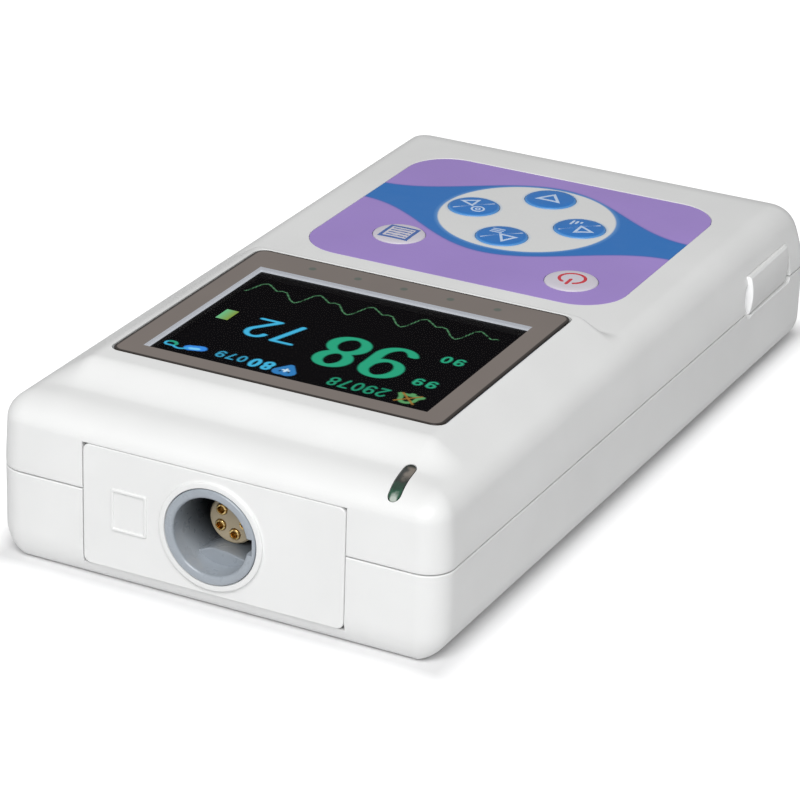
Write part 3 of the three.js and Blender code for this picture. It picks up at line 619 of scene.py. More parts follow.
@titled("cover_rubber")
def rubber(finish):
    """Soft white rubber with a painted highlight: paler on its end face, where it catches the light."""
    _, y, _ = finish.split()
    # Painted highlight: the end face of the cover is lightened
    end = 1 - finish.within(y, place_of("port_cover")[1][1] / MM - 0.12, 0.1)
    drift = finish.spread(finish.noise(6, 2), 0, 1)
    tint = finish.mix(drift, shade(paint("white"), 0.95), shade(paint("white"), 0.99))
    return finish.plastic({
        "Base Color": finish.mix(end, tint, (0.97, 0.975, 0.98)),
        "Roughness": finish.spread(finish.noise(2.5), 0.5, 0.6),
        "Normal": finish.bump(finish.noise(0.12, 3), 0.012 * MM),
    })


@titled("inner_black")
def inner_black(finish):
    """Black plastic of the inner parts."""
    return moulded(finish, (0.03, 0.031, 0.033), 0.5, 0.3, 0.02 * MM)


@titled("tray_white")
def tray_white(finish):
    """White moulding whose upper flange glows: painted light that stands in for the display's spill falling
    on it.
    """
    flange_low = 22.2
    _, _, z = finish.split()
    # Painted light: above this height the flange emits a pale glow
    upper = 1 - finish.within(z, flange_low, 0.3)
    flow = finish.spread(finish.noise(5, 2), 0, 1)
    return finish.plastic({
        "Base Color": finish.mix(flow, (0.6, 0.62, 0.65), (0.66, 0.68, 0.7)),
        "Roughness": finish.spread(finish.noise(3), 0.45, 0.55),
        "Normal": finish.bump(finish.noise(0.2, 3), 0.006 * MM),
        "Emission Color": finish.mix(upper, (0, 0, 0), (0.38, 0.4, 0.44)),
        "Emission Strength": 1.0,
    })


@titled("socket_grey")
def socket_grey(finish):
    """Glossy grey with painted shade: its tone deepens down the bore, where shade gathers, and sooner on its
    upper side.
    """
    painted_shade_y, painted_shade_run, painted_shade_lean = 54.0, 6.5, 0.35
    x, y, z = finish.split()
    up = z - SOCKET_Z / MM
    deep = 1 - finish.within(finish.math("SQRT", x * x + up * up), sizes("socket").bore / MM + 0.05, 0.1)
    # Painted shade: the bore darkens with depth, sooner higher up, while the face outside the bore keeps its
    # tone
    share = finish.math("MAXIMUM", 1 - finish.within(y - up * painted_shade_lean, painted_shade_y, painted_shade_run), deep)
    flow = finish.spread(finish.noise(5, 2), 0.94, 1.04)
    tint = finish.mix(share * flow, shade(paint("socket"), 0.12), shade(paint("socket"), 1.04))
    return finish.plastic({
        "Base Color": tint,
        "Roughness": finish.spread(finish.noise(1.2), 0.25, 0.36),
        "Normal": finish.bump(finish.noise(0.16, 3), 0.003 * MM),
        "Coat Weight": 0.3,
        "Coat Roughness": 0.12,
    })


@titled("core_beige")
def core_beige(finish):
    """Beige plastic of the socket's insulator."""
    return moulded(finish, paint("beige"), 0.45, 0.1, 0.008 * MM, 0.08)


def metal(finish, tone, roughness, stretch=(1, 1, 1)):
    """Plated metal: fine brushed streaks in the bump, and slow dull patches in tone and gloss."""
    streak = finish.noise(0.12, 3, stretch)
    patch = finish.noise(1.6, 2)
    gloss = finish.spread(patch, roughness - 0.06, roughness + 0.1)
    return finish.plastic({
        "Base Color": finish.mix(finish.spread(patch, 0, 1), shade(tone, 0.86), tone),
        "Metallic": 1.0,
        "Roughness": gloss,
        "Normal": finish.bump(streak, 0.003 * MM),
    })


@titled("steel")
def steel(finish):
    """Plated steel, brushed."""
    return metal(finish, paint("steel"), 0.3, (1, 0.15, 1))


@titled("contact_gold")
def gold(finish):
    """Gold plating of the contacts."""
    return metal(finish, paint("gold"), 0.2)


@titled("pipe_smoke")
def smoky_lens(finish):
    """Smoky lens: near black in the middle, with painted light: a taupe bloom at its upper end, and at its
    lower end a green glow where the light comes through and a white painted highlight."""
    x, y, _ = finish.split()
    tip_end, bloom_end, green_start, white_start = 51.15, 53.4, 55.2, 56.35
    patch = finish.spread(finish.noise(0.9, 3), -0.6, 0.6)
    across = x + (HALF_X - LENS_ASIDE) / MM + (y - (HALF_Y - LENS_BACK) / MM) * math.tan(LENS_TURN)
    inward = finish.within(across + patch * 0.3, 0.15, 0.5)
    # Painted light: the blooms below are painted into the base colour of the lens
    upper = finish.within(y + patch, bloom_end, 2.2) * inward
    tip = finish.within(y, tip_end, 0.35)
    lower = 1 - finish.within(y + patch, green_start, 1.6)
    core = finish.within(abs(across), 0.42, 0.2)
    # Painted highlight: a white streak low on the lens
    painted_highlight = (1 - finish.within(y + patch * 0.6, white_start, 0.7)) * core
    tint = finish.mix(upper * 0.9, paint("smoke"), (0.2, 0.17, 0.14))
    tint = finish.mix(tip, tint, paint("smoke"))
    tint = finish.mix(lower * 0.9, tint, (0.014, 0.085, 0.045))
    tint = finish.mix(painted_highlight * 0.85, tint, (0.5, 0.55, 0.5))
    return finish.plastic({
        "Base Color": tint,
        "Roughness": 0.08,
        "Normal": finish.bump(finish.noise(0.9, 2), 0.05 * MM),
        "Coat Weight": 1.0,
        "Coat Roughness": 0.03,
    })


@titled("board_green")
def board_green(finish):
    """Solder mask over copper: tracks as thin raised lines in two directions, and tinned pads."""
    x, y, _ = finish.split()
    wander = finish.noise(6, 2)
    lines = []
    for value, pitch in ((x + 3 * wander, 1.27), (y + 2 * wander, 1.9)):
        share = finish.math("FRACT", value / pitch)
        lines.append(finish.within(abs(share - 0.5), 0.12, 0.06))
    choose = finish.noise(4, 1) > 0.5
    track = lines[0] * choose + lines[1] * (1 - choose)
    return finish.plastic({
        "Base Color": finish.mix(track, (0.012, 0.12, 0.05), (0.03, 0.24, 0.1)),
        "Roughness": finish.spread(finish.noise(0.9), 0.3, 0.42),
        "Normal": finish.bump(track, 0.03 * MM),
        "Coat Weight": 0.4,
    })


@titled("flat_cable")
def flat_cable(finish):
    """Polyimide film over copper strips that show as fine lines along the cable."""
    x, _, _ = finish.split()
    strip = finish.within(abs(finish.math("FRACT", x / 0.5) - 0.5), 0.27, 0.1)
    return finish.plastic({
        "Base Color": finish.mix(strip, (0.36, 0.13, 0.02), (0.6, 0.27, 0.06)),
        "Roughness": finish.spread(finish.noise(0.7), 0.25, 0.4),
        "Normal": finish.bump(strip, 0.02 * MM),
    })


@titled("battery_blue")
def battery_film(finish):
    """Shrink film over a flat cell: a deep blue with soft wrinkles and a paler band round one end."""
    _, y, _ = finish.split()
    band_y, band_half = -9, 3.2
    band = finish.within(abs(y - band_y), band_half, 0.05)
    wrinkle = finish.noise(2.4, 3, (1, 0.3, 1))
    return finish.plastic({
        "Base Color": finish.mix(band, (0.02, 0.06, 0.2), (0.5, 0.52, 0.55)),
        "Roughness": finish.spread(wrinkle, 0.22, 0.36),
        "Normal": finish.bump(wrinkle, 0.12 * MM),
    })


# Housing


def graded(stops, steps):
    """Places from the first stop to the last, each stretch split into its own number of even steps."""
    runs = [np.linspace(a, b, n, endpoint=False) for a, b, n in zip(stops, stops[1:], steps)]
    return np.append(np.concatenate(runs), stops[-1])


def smooth_step(value, start, end):
    """0 before the start, 1 after the end and 3 t^2 - 2 t^3 between."""
    share = np.clip((value - start) / (end - start), 0, 1)
    return share * share * (3 - 2 * share)


def more(y):
    """How much wider each side of the case is at the parting line, along Y."""
    case = sizes("housing")
    return case.flare_near + (case.flare_far - case.flare_near) * (HALF_Y - y) / (2 * HALF_Y)


def flare(shape):
    """Widens the case below its top: x times 1 + more(y) kept / half width, where kept falls by a smooth step
    from 1 at the parting line to 0 at the top."""
    points, faces = shape
    kept = 1 - smooth_step(points[:, 2], PARTING, KEYPAD_TOP)
    x = points[:, 0] * (1 + more(points[:, 1]) * kept / HALF_X)
    return np.column_stack((x, points[:, 1:])), faces


def fallen(height):
    """How far a quarter circle has run in at a share of its height: 1 - sqrt(1 - height^2)."""
    return 1 - math.sqrt(1 - min(max(height, 0), 1) ** 2)


def case_level(across, along, half_x, far, near, radius, corner_steps=12):
    """One level of the case as pairs, anticlockwise: straight runs that hold the shares of across and along,
    so that they meet the roof's lines, and quarter circles between them."""
    x = half_x - radius
    y = (near - far) / 2 - radius
    middle = (near + far) / 2
    run_x = across * x
    run_y = middle + along * y
    turn = np.linspace(0, QUARTER, corner_steps + 1)[1:-1]
    cos = radius * np.cos(turn)
    sin = radius * np.sin(turn)
    sides = (
        (np.full_like(run_y, half_x), run_y),
        (x + cos, middle + y + sin),
        (run_x[::-1], np.full_like(run_x, near)),
        (-x - sin, middle + y + cos),
        (np.full_like(run_y, -half_x), run_y[::-1]),
        (-x - cos, middle - y - sin),
        (run_x, np.full_like(run_x, far)),
        (x + sin, middle - y - cos),
    )
    return np.concatenate([np.column_stack(side) for side in sides])


def facet():
    """Slope of the raised end's side facet and where it ends: the tangent from the flat's edge to the
    shoulder's circle, from the angle to the circle's centre less the angle between it and the tangent."""
    case = sizes("housing")
    across = HALF_X - case.shoulder - case.display_half
    down = TOP - (KEYPAD_TOP - case.shoulder)
    reach = math.hypot(across, down)
    slope = math.atan2(down, across) - math.asin(case.shoulder / reach)
    tangent = math.sqrt(reach * reach - case.shoulder * case.shoulder)
    return math.tan(slope), case.display_half + tangent * math.cos(slope)


def rise(x, y):
    """How far the raised end stands over the plain case: across X the soft minimum of its flat height and of
    the facet's line less the shoulder's circle, and along Y faded by smooth steps at both of its ends."""
    case = sizes("housing")
    slope, foot = facet()
    side = np.abs(x)
    rim = HALF_X - case.shoulder
    over = np.clip(side - rim, 0, case.shoulder)
    plain = KEYPAD_TOP - case.shoulder + np.sqrt(np.maximum(case.shoulder ** 2 - over ** 2, 0))
    line = TOP - (side - case.display_half) * slope - plain
    flat = np.full_like(side, TOP - KEYPAD_TOP)
    soft = case.edge_soft
    share = np.maximum(soft - np.abs(line - flat), 0) / soft
    height = np.minimum(line, flat) - share * share * soft / 4
    height = np.where(side < foot, np.maximum(height, 0), 0)
    start = smooth_step(y, case.display_far, case.display_far + case.display_climb)
    steep = smooth_step(y, case.display_near, case.display_near + case.display_drop)
    slow = smooth_step(y, case.display_near + case.display_tail, HALF_Y)
    return height * start * (1 - STEEP_SHARE * steep - (1 - STEEP_SHARE) * slow)


def front_form():
    """Outer form of the front: rings up the wall and over the shoulders, each drawn in by
    run (1 - sqrt(1 - h^2)) at the share h of its height, and a roof grid whose height is from rise()."""
    case = sizes("housing")
    rim_x = HALF_X - case.shoulder
    far = case.far_run - HALF_Y
    near = HALF_Y - case.end_run
    flat = case.display_half - 1.3 * MM
    steps_across = (22, 46, 22)
    steps_along = (60, 26, 44, 34)
    across = graded((-rim_x, -flat, flat, rim_x), steps_across) / rim_x
    rising = (case.display_far - MM, case.display_far + case.display_climb + MM)
    places = graded((far, *rising, case.display_near - 1.4 * MM, near), steps_along)
    along = (2 * places - far - near) / (near - far)
    low = CASE_LOW[2]
    levels = []
    for turn in np.linspace(0, QUARTER, 5):
        draw = case.seam_round * (1 - math.sin(turn))
        end = HALF_Y - draw
        level = case_level(across, along, HALF_X - draw, -end, end, case.corner - draw)
        levels.append(at(level, low + case.seam_round * (1 - math.cos(turn))))
    far_foot = KEYPAD_TOP - case.far_drop
    foot = KEYPAD_TOP - case.shoulder
    heights = graded((low + case.seam_round, far_foot, foot), (7, 6))[1:-1].tolist()
    heights += [foot + case.shoulder * math.sin(turn) for turn in np.linspace(0, QUARTER, 25)]
    for z in heights:
        side = fallen((z - foot) / case.shoulder)
        level = case_level(
            across, along, HALF_X - case.shoulder * side,
            case.far_run * fallen((z - far_foot) / case.far_drop) - HALF_Y,
            HALF_Y - case.end_run * side, case.corner * (1 - side),
        )
        levels.append(at(level, z + rise(level[:, 0], level[:, 1])))
    points, faces = stack(levels)
    grid_x, grid_y = np.meshgrid(across * rim_x, places)
    height = KEYPAD_TOP + rise(grid_x, grid_y)
    roof = np.stack((grid_x, grid_y, height), axis=-1).reshape(-1, 3)
    rows, columns = grid_x.shape
    here = (np.arange(rows - 1)[:, None] * columns + np.arange(columns - 1)).ravel() + len(points)
    quads = np.stack((here, here + 1, here + 1 + columns, here + columns), axis=-1)
    return flare((np.concatenate((points, roof)), faces[:-1] + quads.tolist()))


def inner_form(inset, low, high, round_low=0.0, round_high=0.0):
    """Solid of a round-cornered plan drawn in by an inset, between two heights."""
    case = sizes("housing")
    corner = case.corner - inset

    def outline(offset):
        x = HALF_X - inset + offset
        y = HALF_Y - inset + offset
        return rounded(-x, x, -y, y, max(corner + offset, LEAST_CORNER))

    return pillow(outline, low, high, round_low, round_high)


def panel_opening():
    """Tool for the opening of the end plate, with rounded edges on the end wall."""
    case = sizes("housing")
    low, high = place_of("end_panel")
    gap = 0.1 * MM
    x = high[0] - case.ear + gap

    def outline(offset):
        z0 = low[2] - gap - offset
        z1 = high[2] + gap + min(offset, 0.03 * MM)
        return rounded(-x - offset, x + offset, z0, z1, 0.02 * MM, 2)

    shape = flared(outline, HALF_Y - case.wall - 0.15 * MM, HALF_Y, case.mouth_round * 0.5, 2 * MM)
    return axes(shape, (0, 2, 1))


def port_wall():
    """Where the wall stands beside the port cover, along X."""
    low, high = place_of("port_cover")
    return -HALF_X - more((low[1] + high[1]) / 2)


def port_recess():
    """Tools for the seat of the port cover, with a rounded edge, for the port's hole and for the nail notch,
    which is part of an ellipsoid."""
    case = sizes("housing")
    wall = port_wall()
    low, high = place_of("port_cover")
    gap = 0.07 * MM

    def outline(offset):
        wide = gap + offset
        return rounded(low[1] - wide, high[1] + wide, low[2] - wide, high[2] + wide, 0.6 * MM)

    points, faces = axes(flared(outline, high[0] + gap, wall, case.mouth_round * 0.4, 2 * MM), (2, 0, 1))
    points[:, 0] -= more(points[:, 1]) + HALF_X + wall
    notch_middle = (wall - 0.5 * MM, high[1] + 0.3 * MM, (low[2] + high[2]) / 2 - 0.3 * MM)
    notch_reach = (1.6 * MM, 2.2 * MM, 3.1 * MM)
    turn = np.linspace(-QUARTER, QUARTER, 25)
    ball, rows = spun(np.column_stack((np.cos(turn), np.sin(turn))), 0, 0, sides=64)
    low, high = place_of("usb_socket")
    hole = block(wall - MM, low[0] + case.wall, low[1] - gap, high[1] + gap, low[2] - gap, high[2] + gap)
    return [(points, faces), hole, (ball * notch_reach + notch_middle, rows)]


def lamp_bar(extra, low, high):
    """Upright bar with round ends for the lamp lens, turned in plan."""
    half_length = LENS_HALF_LENGTH + extra
    half_width = LENS_HALF_WIDTH + extra
    outline = rounded(-half_width, half_width, -half_length, half_length, half_width * 0.98, 12)
    plan = outline @ plan_turn(LENS_TURN) + (LENS_ASIDE - HALF_X, HALF_Y - LENS_BACK)
    return stack([at(plan, low), at(plan, high)])


def front_void():
    """What is hollow in the front: the case inside its wall, the raised end and the rebate, but no studs."""
    case = sizes("housing")
    roof_round = 1.2 * MM
    roof = 2.5 * MM
    void = body("void", inner_form(case.wall, PARTING - MM, KEYPAD_TOP - case.wall, 0.0, roof_round))
    half = case.display_half - case.wall
    far = case.display_far + 5.2 * MM
    near = case.display_near - 1.4 * MM
    pocket = block(-half, half, far, near, PARTING, TOP - roof)
    rebate_wall = case.wall - case.lip - 0.15 * MM
    rebate = inner_form(rebate_wall, PARTING - 2 * MM, PARTING + LIP_HEIGHT + 0.15 * MM)
    carve(void, "UNION", pocket, rebate)
    studs = [drum(x, y, PARTING - 4 * MM, TOP, case.boss) for x, y in SCREW_PLACES]
    studs += [drum(x, y, UPPER_POST_FOOT, TOP, case.post, 32) for x, y in POST_PLACES]
    return carve(void, "DIFFERENCE", *studs)


def window_seat():
    """Tool for the window's seat, a little wider than the window at three of its sides."""
    low, high = place_of("display_window")
    gap = 0.07 * MM
    under = 0.02 * MM
    wider_low = (0.24 * MM, 0, 0)
    wider_high = (0.08 * MM, 0.16 * MM, 0)
    outline = seat(low - wider_low, high + wider_high, gap, sizes("screen").window_corner)
    return flared(outline, low[2] - under, TOP, SEAT_ROUND, 2 * MM)


def film_seat():
    """Tool for the film's seat."""
    low, high = place_of("keypad_overlay")
    gap = 0.05 * MM
    under = 0.01 * MM
    outline = seat(low, high, gap, sizes("keypad").label_corner, 24)
    return flared(outline, low[2] - under, KEYPAD_TOP, SEAT_ROUND, 2 * MM)


def frame_aperture():
    """Tool for the opening under the window that the display's frame and its flange stand in."""
    low, high = place_of("lcd_tray")
    gap = sizes("screen").flange + 0.1 * MM
    aside = gap / 2 + 0.1 * MM
    return block(
        low[0] - aside, high[0] + aside, low[1] - gap, high[1] + gap, UNDER_ROOF, TOP - 0.5 * MM
    )


def make_front_shell():
    """Front shell: the outer form less its hollow, the seats, the holes and the recesses."""
    case = sizes("housing")
    above = TOP + 2 * MM
    key_hole = sizes("keypad").cap + 0.15 * MM
    lens_gap = 0.12 * MM
    keys = [drum(*middle_of("key_" + name)[:2], UNDER_ROOF, above, key_hole) for name in KEY_NAMES]
    pilots = [drum(x, y, PARTING - MM, PILOT_END, case.pilot, 32) for x, y in SCREW_PLACES]
    shell = body("front_shell_form", front_form())
    carve(
        shell, "DIFFERENCE", front_void(), window_seat(), film_seat(), frame_aperture(), *keys, *pilots,
        lamp_bar(lens_gap, 16.9 * MM, above), panel_opening(), *port_recess(),
    )
    shell.name = "front_housing"
    return dress(shell, "case", "case_white", case_white(), "front_shell")


def rear_form(low, high):
    """Outer form of the lower half: levels drawn in by run (1 - sin a) at heights base (1 - cos a)."""
    case = sizes("housing")
    even = np.linspace(-1, 1, 41)

    def level(side, end, height):
        corner = max(case.corner - side, LEAST_CORNER)
        return at(case_level(even, even, HALF_X - side, end - HALF_Y, HALF_Y - end, corner), height)

    levels = []
    for turn in np.linspace(0, QUARTER, 15):
        share = 1 - math.sin(turn)
        height = low + case.base * (1 - math.cos(turn))
        levels.append(level(case.base * share, case.base_run * share, height))
    for turn in np.linspace(0, QUARTER, 5):
        draw = case.seam_round * (1 - math.cos(turn))
        levels.append(level(draw, draw, high - case.seam_round * (1 - math.sin(turn))))
    return flare(stack(levels))


def bay_sizes():
    """Half width, far and near end, and ceiling of the battery bay, from the door, battery and connector."""
    door_low, door_high = place_of("battery_door")
    pack_low, pack_high = place_of("battery_pack")
    half = (door_high[0] - door_low[0]) / 2 - 0.65 * MM
    near = place_of("battery_connector")[1][1] + 0.15 * MM
    return half, pack_low[1] - 0.4 * MM, near, pack_high[2] + 0.6 * MM


def rear_void(seam):
    """What is hollow in the rear: the case inside its wall, but not the studs and the battery bay's walls."""
    case = sizes("housing")
    half, _, near, ceiling = bay_sizes()
    side = half + BAY_WALL
    void = body("void", inner_form(case.wall, case.wall, PARTING + 2 * MM, 0.8 * MM))
    studs = [drum(x, y, -MM, seam, case.boss) for x, y in SCREW_PLACES]
    studs += [drum(x, y, -MM, LOWER_POST_TOP, case.post, 32) for x, y in POST_PLACES]
    bay = block(-side, side, -HALF_Y, near + BAY_WALL, -MM, ceiling + 1.3 * MM)
    return carve(void, "DIFFERENCE", *studs, bay)


def door_seat():
    """Tools for the door's seat: the mouth with its round edge, the groove of its tongues, the end slot."""
    case = sizes("housing")
    half = bay_sizes()[0]
    low, high = place_of("battery_door")
    end = high[1] + DOOR_GAP

    def outline(offset):
        x = half + offset
        return rounded(-x, x, PAST_END, end + offset, 0.3 * MM, 3)

    plate = DOOR_PLATE + DOOR_GAP
    mouth = flared(outline, plate, 0, case.mouth_round * 0.6, MM)
    groove = block(low[0] - DOOR_GAP, high[0] + DOOR_GAP, PAST_END, end, 0.45 * MM, 1.35 * MM)
    end_slot = block(-half, half, PAST_END, -HALF_Y + plate, -MM, DOOR_END_TOP + DOOR_GAP)
    return mouth, groove, end_slot


def screw_seat(x, y, seam):
    """Tools for a screw's hole and for the seat of its head, with a rounded edge."""
    case = sizes("housing")
    radius = 2.15 * MM
    depth = 2.4 * MM
    head = flared(lambda offset: circle(x, y, radius + offset), depth, 0, case.mouth_round, MM)
    return head, drum(x, y, -MM, seam + MM, case.screw_bore, 32)


def make_rear_shell():
    """Rear shell: the outer form with a lip, less its hollow, the battery bay and the seats."""
    case = sizes("housing")
    seam = PARTING - HALF_SEAM
    shell = body("rear_shell_form", rear_form(0.0, seam))
    carve(shell, "UNION", inner_form(case.wall - case.lip, PARTING - 1.4 * MM, PARTING + LIP_HEIGHT))
    half, far, near, ceiling = bay_sizes()
    seats = [tool for x, y in SCREW_PLACES for tool in screw_seat(x, y, seam)]
    carve(
        shell, "DIFFERENCE", rear_void(seam), block(-half, half, far, near, -MM, ceiling), *door_seat(),
        *seats, panel_opening(), *port_recess(),
    )
    shell.name = "rear_housing"
    return dress(shell, "case", "case_white", case_white(), "rear_shell")


def grip_bar(row):
    """Tool for one of the door's grip bars, with a rounded edge."""
    half_length = 9 * MM
    half_width = 0.45 * MM
    first = 6.55 * MM
    pitch = 2.4 * MM
    depth = 0.45 * MM
    y = -HALF_Y + first + pitch * row

    def outline(offset):
        x = half_length + offset
        wide = half_width + offset
        return rounded(-x, x, y - wide, y + wide, 0.4 * MM)

    return flared(outline, depth, 0, 0.3 * MM, MM)


def make_battery_door():
    """Door with an end wall and tongues, trimmed by the rear's outer form, with five grip bars."""
    low, high = place_of("battery_door")
    half = bay_sizes()[0] - DOOR_GAP
    door = body("battery_door_form", block(-half, half, PAST_END, high[1], -MM, DOOR_PLATE))
    end_wall = block(-half, half, PAST_END, -HALF_Y + DOOR_PLATE, -MM, DOOR_END_TOP)
    tongues = block(low[0], high[0], PAST_END, high[1], 0.6 * MM, 1.2 * MM)
    carve(door, "UNION", end_wall, tongues)
    carve(door, "INTERSECT", rear_form(0.0, PARTING))
    carve(door, "DIFFERENCE", *(grip_bar(row) for row in range(5)))
    door.name = "battery_cover"
    return dress(door, "door", "case_white", case_white(), "battery_door")


def socket_ring(back):
    """White ring round the socket, turned in one profile with a hollow foot and an eased edge."""
    socket = sizes("socket")
    top = HALF_Y + socket.proud
    foot = 0.3 * MM
    edge = 0.15 * MM
    outer = socket.ring + foot
    turn = np.linspace(0, QUARTER, 7)
    profile = [(0, back), (outer, back)]
    profile += [(outer - foot * math.sin(a), HALF_Y + foot * 0.6 * (1 - math.cos(a))) for a in turn]
    profile += eased(socket.ring, top, edge, edge, 7)
    profile.append((0, top))
    return spun(profile, 0, SOCKET_Z, "Y", 144)


def socket_seat(back):
    """Tools for the seat of the socket's flange, wider at its mouth, and for its barrel's hole behind it."""
    socket = sizes("socket")
    shelf = HALF_Y - 1.1 * MM
    over = 0.2 * MM
    flange = socket.flange + 0.06 * MM
    mouth = socket.flange + 0.25 * MM
    barrel = socket.barrel + 0.15 * MM
    barrel_end = shelf + 0.1 * MM
    seat_profile = [(0, shelf), (flange, shelf), (flange, HALF_Y + over)]
    seat_profile += [(mouth, HALF_Y + socket.proud + over), (0, HALF_Y + MM)]
    hole_profile = [(0, back), (barrel, back), (barrel, barrel_end), (0, barrel_end)]
    return spun(seat_profile, 0, SOCKET_Z, "Y", 144), spun(hole_profile, 0, SOCKET_Z, "Y")


def make_end_panel():
    """End plate with ears in the shells' slots, a raised ring round the socket and a square."""
    case = sizes("housing")
    low, high = place_of("end_panel")
    half = high[0] - case.ear
    back = HALF_Y - 2.9 * MM
    outline = seat((-half, low[2]), (half, high[2]), 0, MM)
    panel = body("end_panel_form", axes(pillow(outline, back, HALF_Y, 0.2 * MM, 0.2 * MM), (0, 2, 1)))
    ear_front = HALF_Y - case.wall - 0.1 * MM
    ear_inset = 2.6 * MM
    ears = block(
        low[0], high[0], ear_front - 0.9 * MM, ear_front, low[2] + ear_inset, high[2] - ear_inset
    )
    carve(panel, "UNION", ears, socket_ring(back + 0.5 * MM))
    carve(panel, "DIFFERENCE", *socket_seat(back - MM))
    carve(panel, "UNION", raised_square())
    panel.name = "end_plate"
    return dress(panel, "case", "case_white", case_white(), "end_panel")


def raised_square():
    """Raised frame on the end plate, as a closed ring whose crown is half its width."""
    depth = 0.4 * MM
    height = 0.2 * MM
    line = 0.4 * MM
    x0, x1, z0, z1 = np.array((8.9, 13.9, 7.5, 13.1)) * MM
    outer = rounded(x0, x1, z0, z1, 0.3 * MM, 4)
    inner = rounded(x0 + line, x1 - line, z0 + line, z1 - line, 0.1 * MM, 4)
    steps = ((0, -depth), (0, height / 2), (0.25, height), (0.75, height), (1, height / 2), (1, -depth))
    levels = [at(outer * (1 - share) + inner * share, HALF_Y + rise_by) for share, rise_by in steps]
    return axes(looped(levels), (0, 2, 1))


# Display


@titled("window")
def window_print(finish):
    """Clear plate with a taupe border printed behind its top: the middle lets the display through, a darker
    line of painted shade runs round the edge for the gap round the plate, and five faint lamp dots stand in
    the border above the display."""
    screen = sizes("screen")
    dots_y = 8.1
    dots_reach = 15
    x, y, z = finish.split()
    low, high = np.array(place_of("display_window")) / MM
    side = abs(x)
    clear_mid = (screen.clear_far + screen.clear_near) / 2 / MM
    clear_half = (screen.clear_near - screen.clear_far) / 2 / MM
    across = abs(y - clear_mid)
    clear = finish.within(side, screen.clear_half / MM, 0.06) * finish.within(across, clear_half, 0.06)
    corner = screen.window_corner / MM
    over_x = finish.math("MAXIMUM", side - (high[0] - corner), 0)
    over_y = finish.math("MAXIMUM", abs(y - (low[1] + high[1]) / 2) - ((high[1] - low[1]) / 2 - corner), 0)
    outside = finish.math("SQRT", over_x * over_x + over_y * over_y)
    # Painted shade: a dark line round the plate's edge, for the shaded gap round it
    rim = 1 - finish.within(outside, corner - 0.38, 0.14)
    upper = 1 - finish.within(z, high[2] - 0.3, 0.05)
    pitch = screen.dot_pitch / MM
    off = abs(finish.math("FRACT", x / pitch + 0.5) - 0.5) * pitch
    down = y - dots_y
    apart = finish.math("SQRT", off * off + down * down)
    dots = finish.within(apart, screen.dot_radius / MM, 0.25) * finish.within(side, dots_reach, 0.1)
    flow = finish.spread(finish.noise(9, 2), 0, 1)
    tint = finish.mix(flow, shade(paint("taupe"), 0.97), shade(paint("taupe"), 1.03))
    tint = finish.mix(dots * 0.75, tint, (0.085, 0.12, 0.1))
    tint = finish.mix(rim * 0.95, tint, (0.022, 0.017, 0.014))
    return finish.plastic({
        "Base Color": tint,
        "Roughness": finish.spread(finish.noise(4), 0.1, 0.16),
        "Specular IOR Level": 0.3,
        "Alpha": (1 - clear * 0.985) * upper,
        "Normal": finish.bump(finish.noise(7, 2), 0.01 * MM),
    })


@titled("display_black")
def display_black(finish):
    """Black glass with a very low sheen and a slow drift of gloss."""
    return finish.plastic({
        "Base Color": finish.mix(finish.noise(6), (0.004, 0.004, 0.005), (0.007, 0.007, 0.008)),
        "Roughness": finish.spread(finish.noise(8), 0.22, 0.3),
        "Specular IOR Level": 0.06,
    })


@titled("readout")
def readout_light(finish):
    """Glow of the pixels, read from each face's own colour, over black."""
    glow = finish.node("Attribute", output="Color", attribute_name="readout")
    return finish.plastic({
        "Base Color": (0.003, 0.003, 0.004, 1),
        "Roughness": 0.4,
        "Specular IOR Level": 0.0,
        "Emission Color": glow,
        "Emission Strength": 1.0,
    })


def arc(x, y, radius_x, radius_y, start, end, steps=24):
    """Points of an elliptical arc, at centre + (radius_x cos a, radius_y sin a), in degrees."""
    turn = np.radians(np.linspace(start, end, steps + 1))
    return np.column_stack((x + radius_x * np.cos(turn), y + radius_y * np.sin(turn)))


DIGITS = {
    "0": [arc(0, 0.5, 0.5, 0.5, 0, 360, 40)],
    "2": [np.concatenate((arc(0, 0.73, 0.5, 0.27, 165, -40), [(-0.5, 0), (0.5, 0)]))],
    "7": [np.array([(-0.5, 1), (0.5, 1), (-0.14, 0)])],
    "8": [arc(0, 0.76, 0.43, 0.24, 0, 360, 32), arc(0, 0.26, 0.5, 0.26, 0, 360, 32)],
    "9": [
        arc(0, 0.72, 0.5, 0.28, 0, 360, 32),
        np.concatenate(([(0.5, 0.72)], arc(0, 0.3, 0.5, 0.3, 0, -150))),
    ],
}


# Linear colours of the readout
READOUT_GREEN = (0.021, 0.36, 0.2)
READOUT_AQUA = (0.055, 0.45, 0.72)
READOUT_WHITE = (0.6, 0.78, 0.9)


def inked(place, line, nib):
    """Share of each place under a pen that follows the line: 1 inside the nib's ellipse, with a soft edge.
    The distance to each stretch is measured with both axes divided by the nib's half sizes."""
    soft = 0.16
    nib = np.array(nib)
    points = np.asarray(line) / nib
    spots = place / nib
    least = np.full(place.shape[:-1], np.inf)
    for start, end in zip(points, points[1:]):
        run = end - start
        share = np.clip(((spots - start) @ run) / max(run @ run, 1e-12), 0, 1)
        gap = spots - start - share[..., None] * run
        least = np.minimum(least, np.hypot(gap[..., 0], gap[..., 1]))
    return np.clip((1 - least) * nib.min() / soft + 0.5, 0, 1)


def stroke(*places):
    """A line through places, in millimetres."""
    return np.array(places, float)


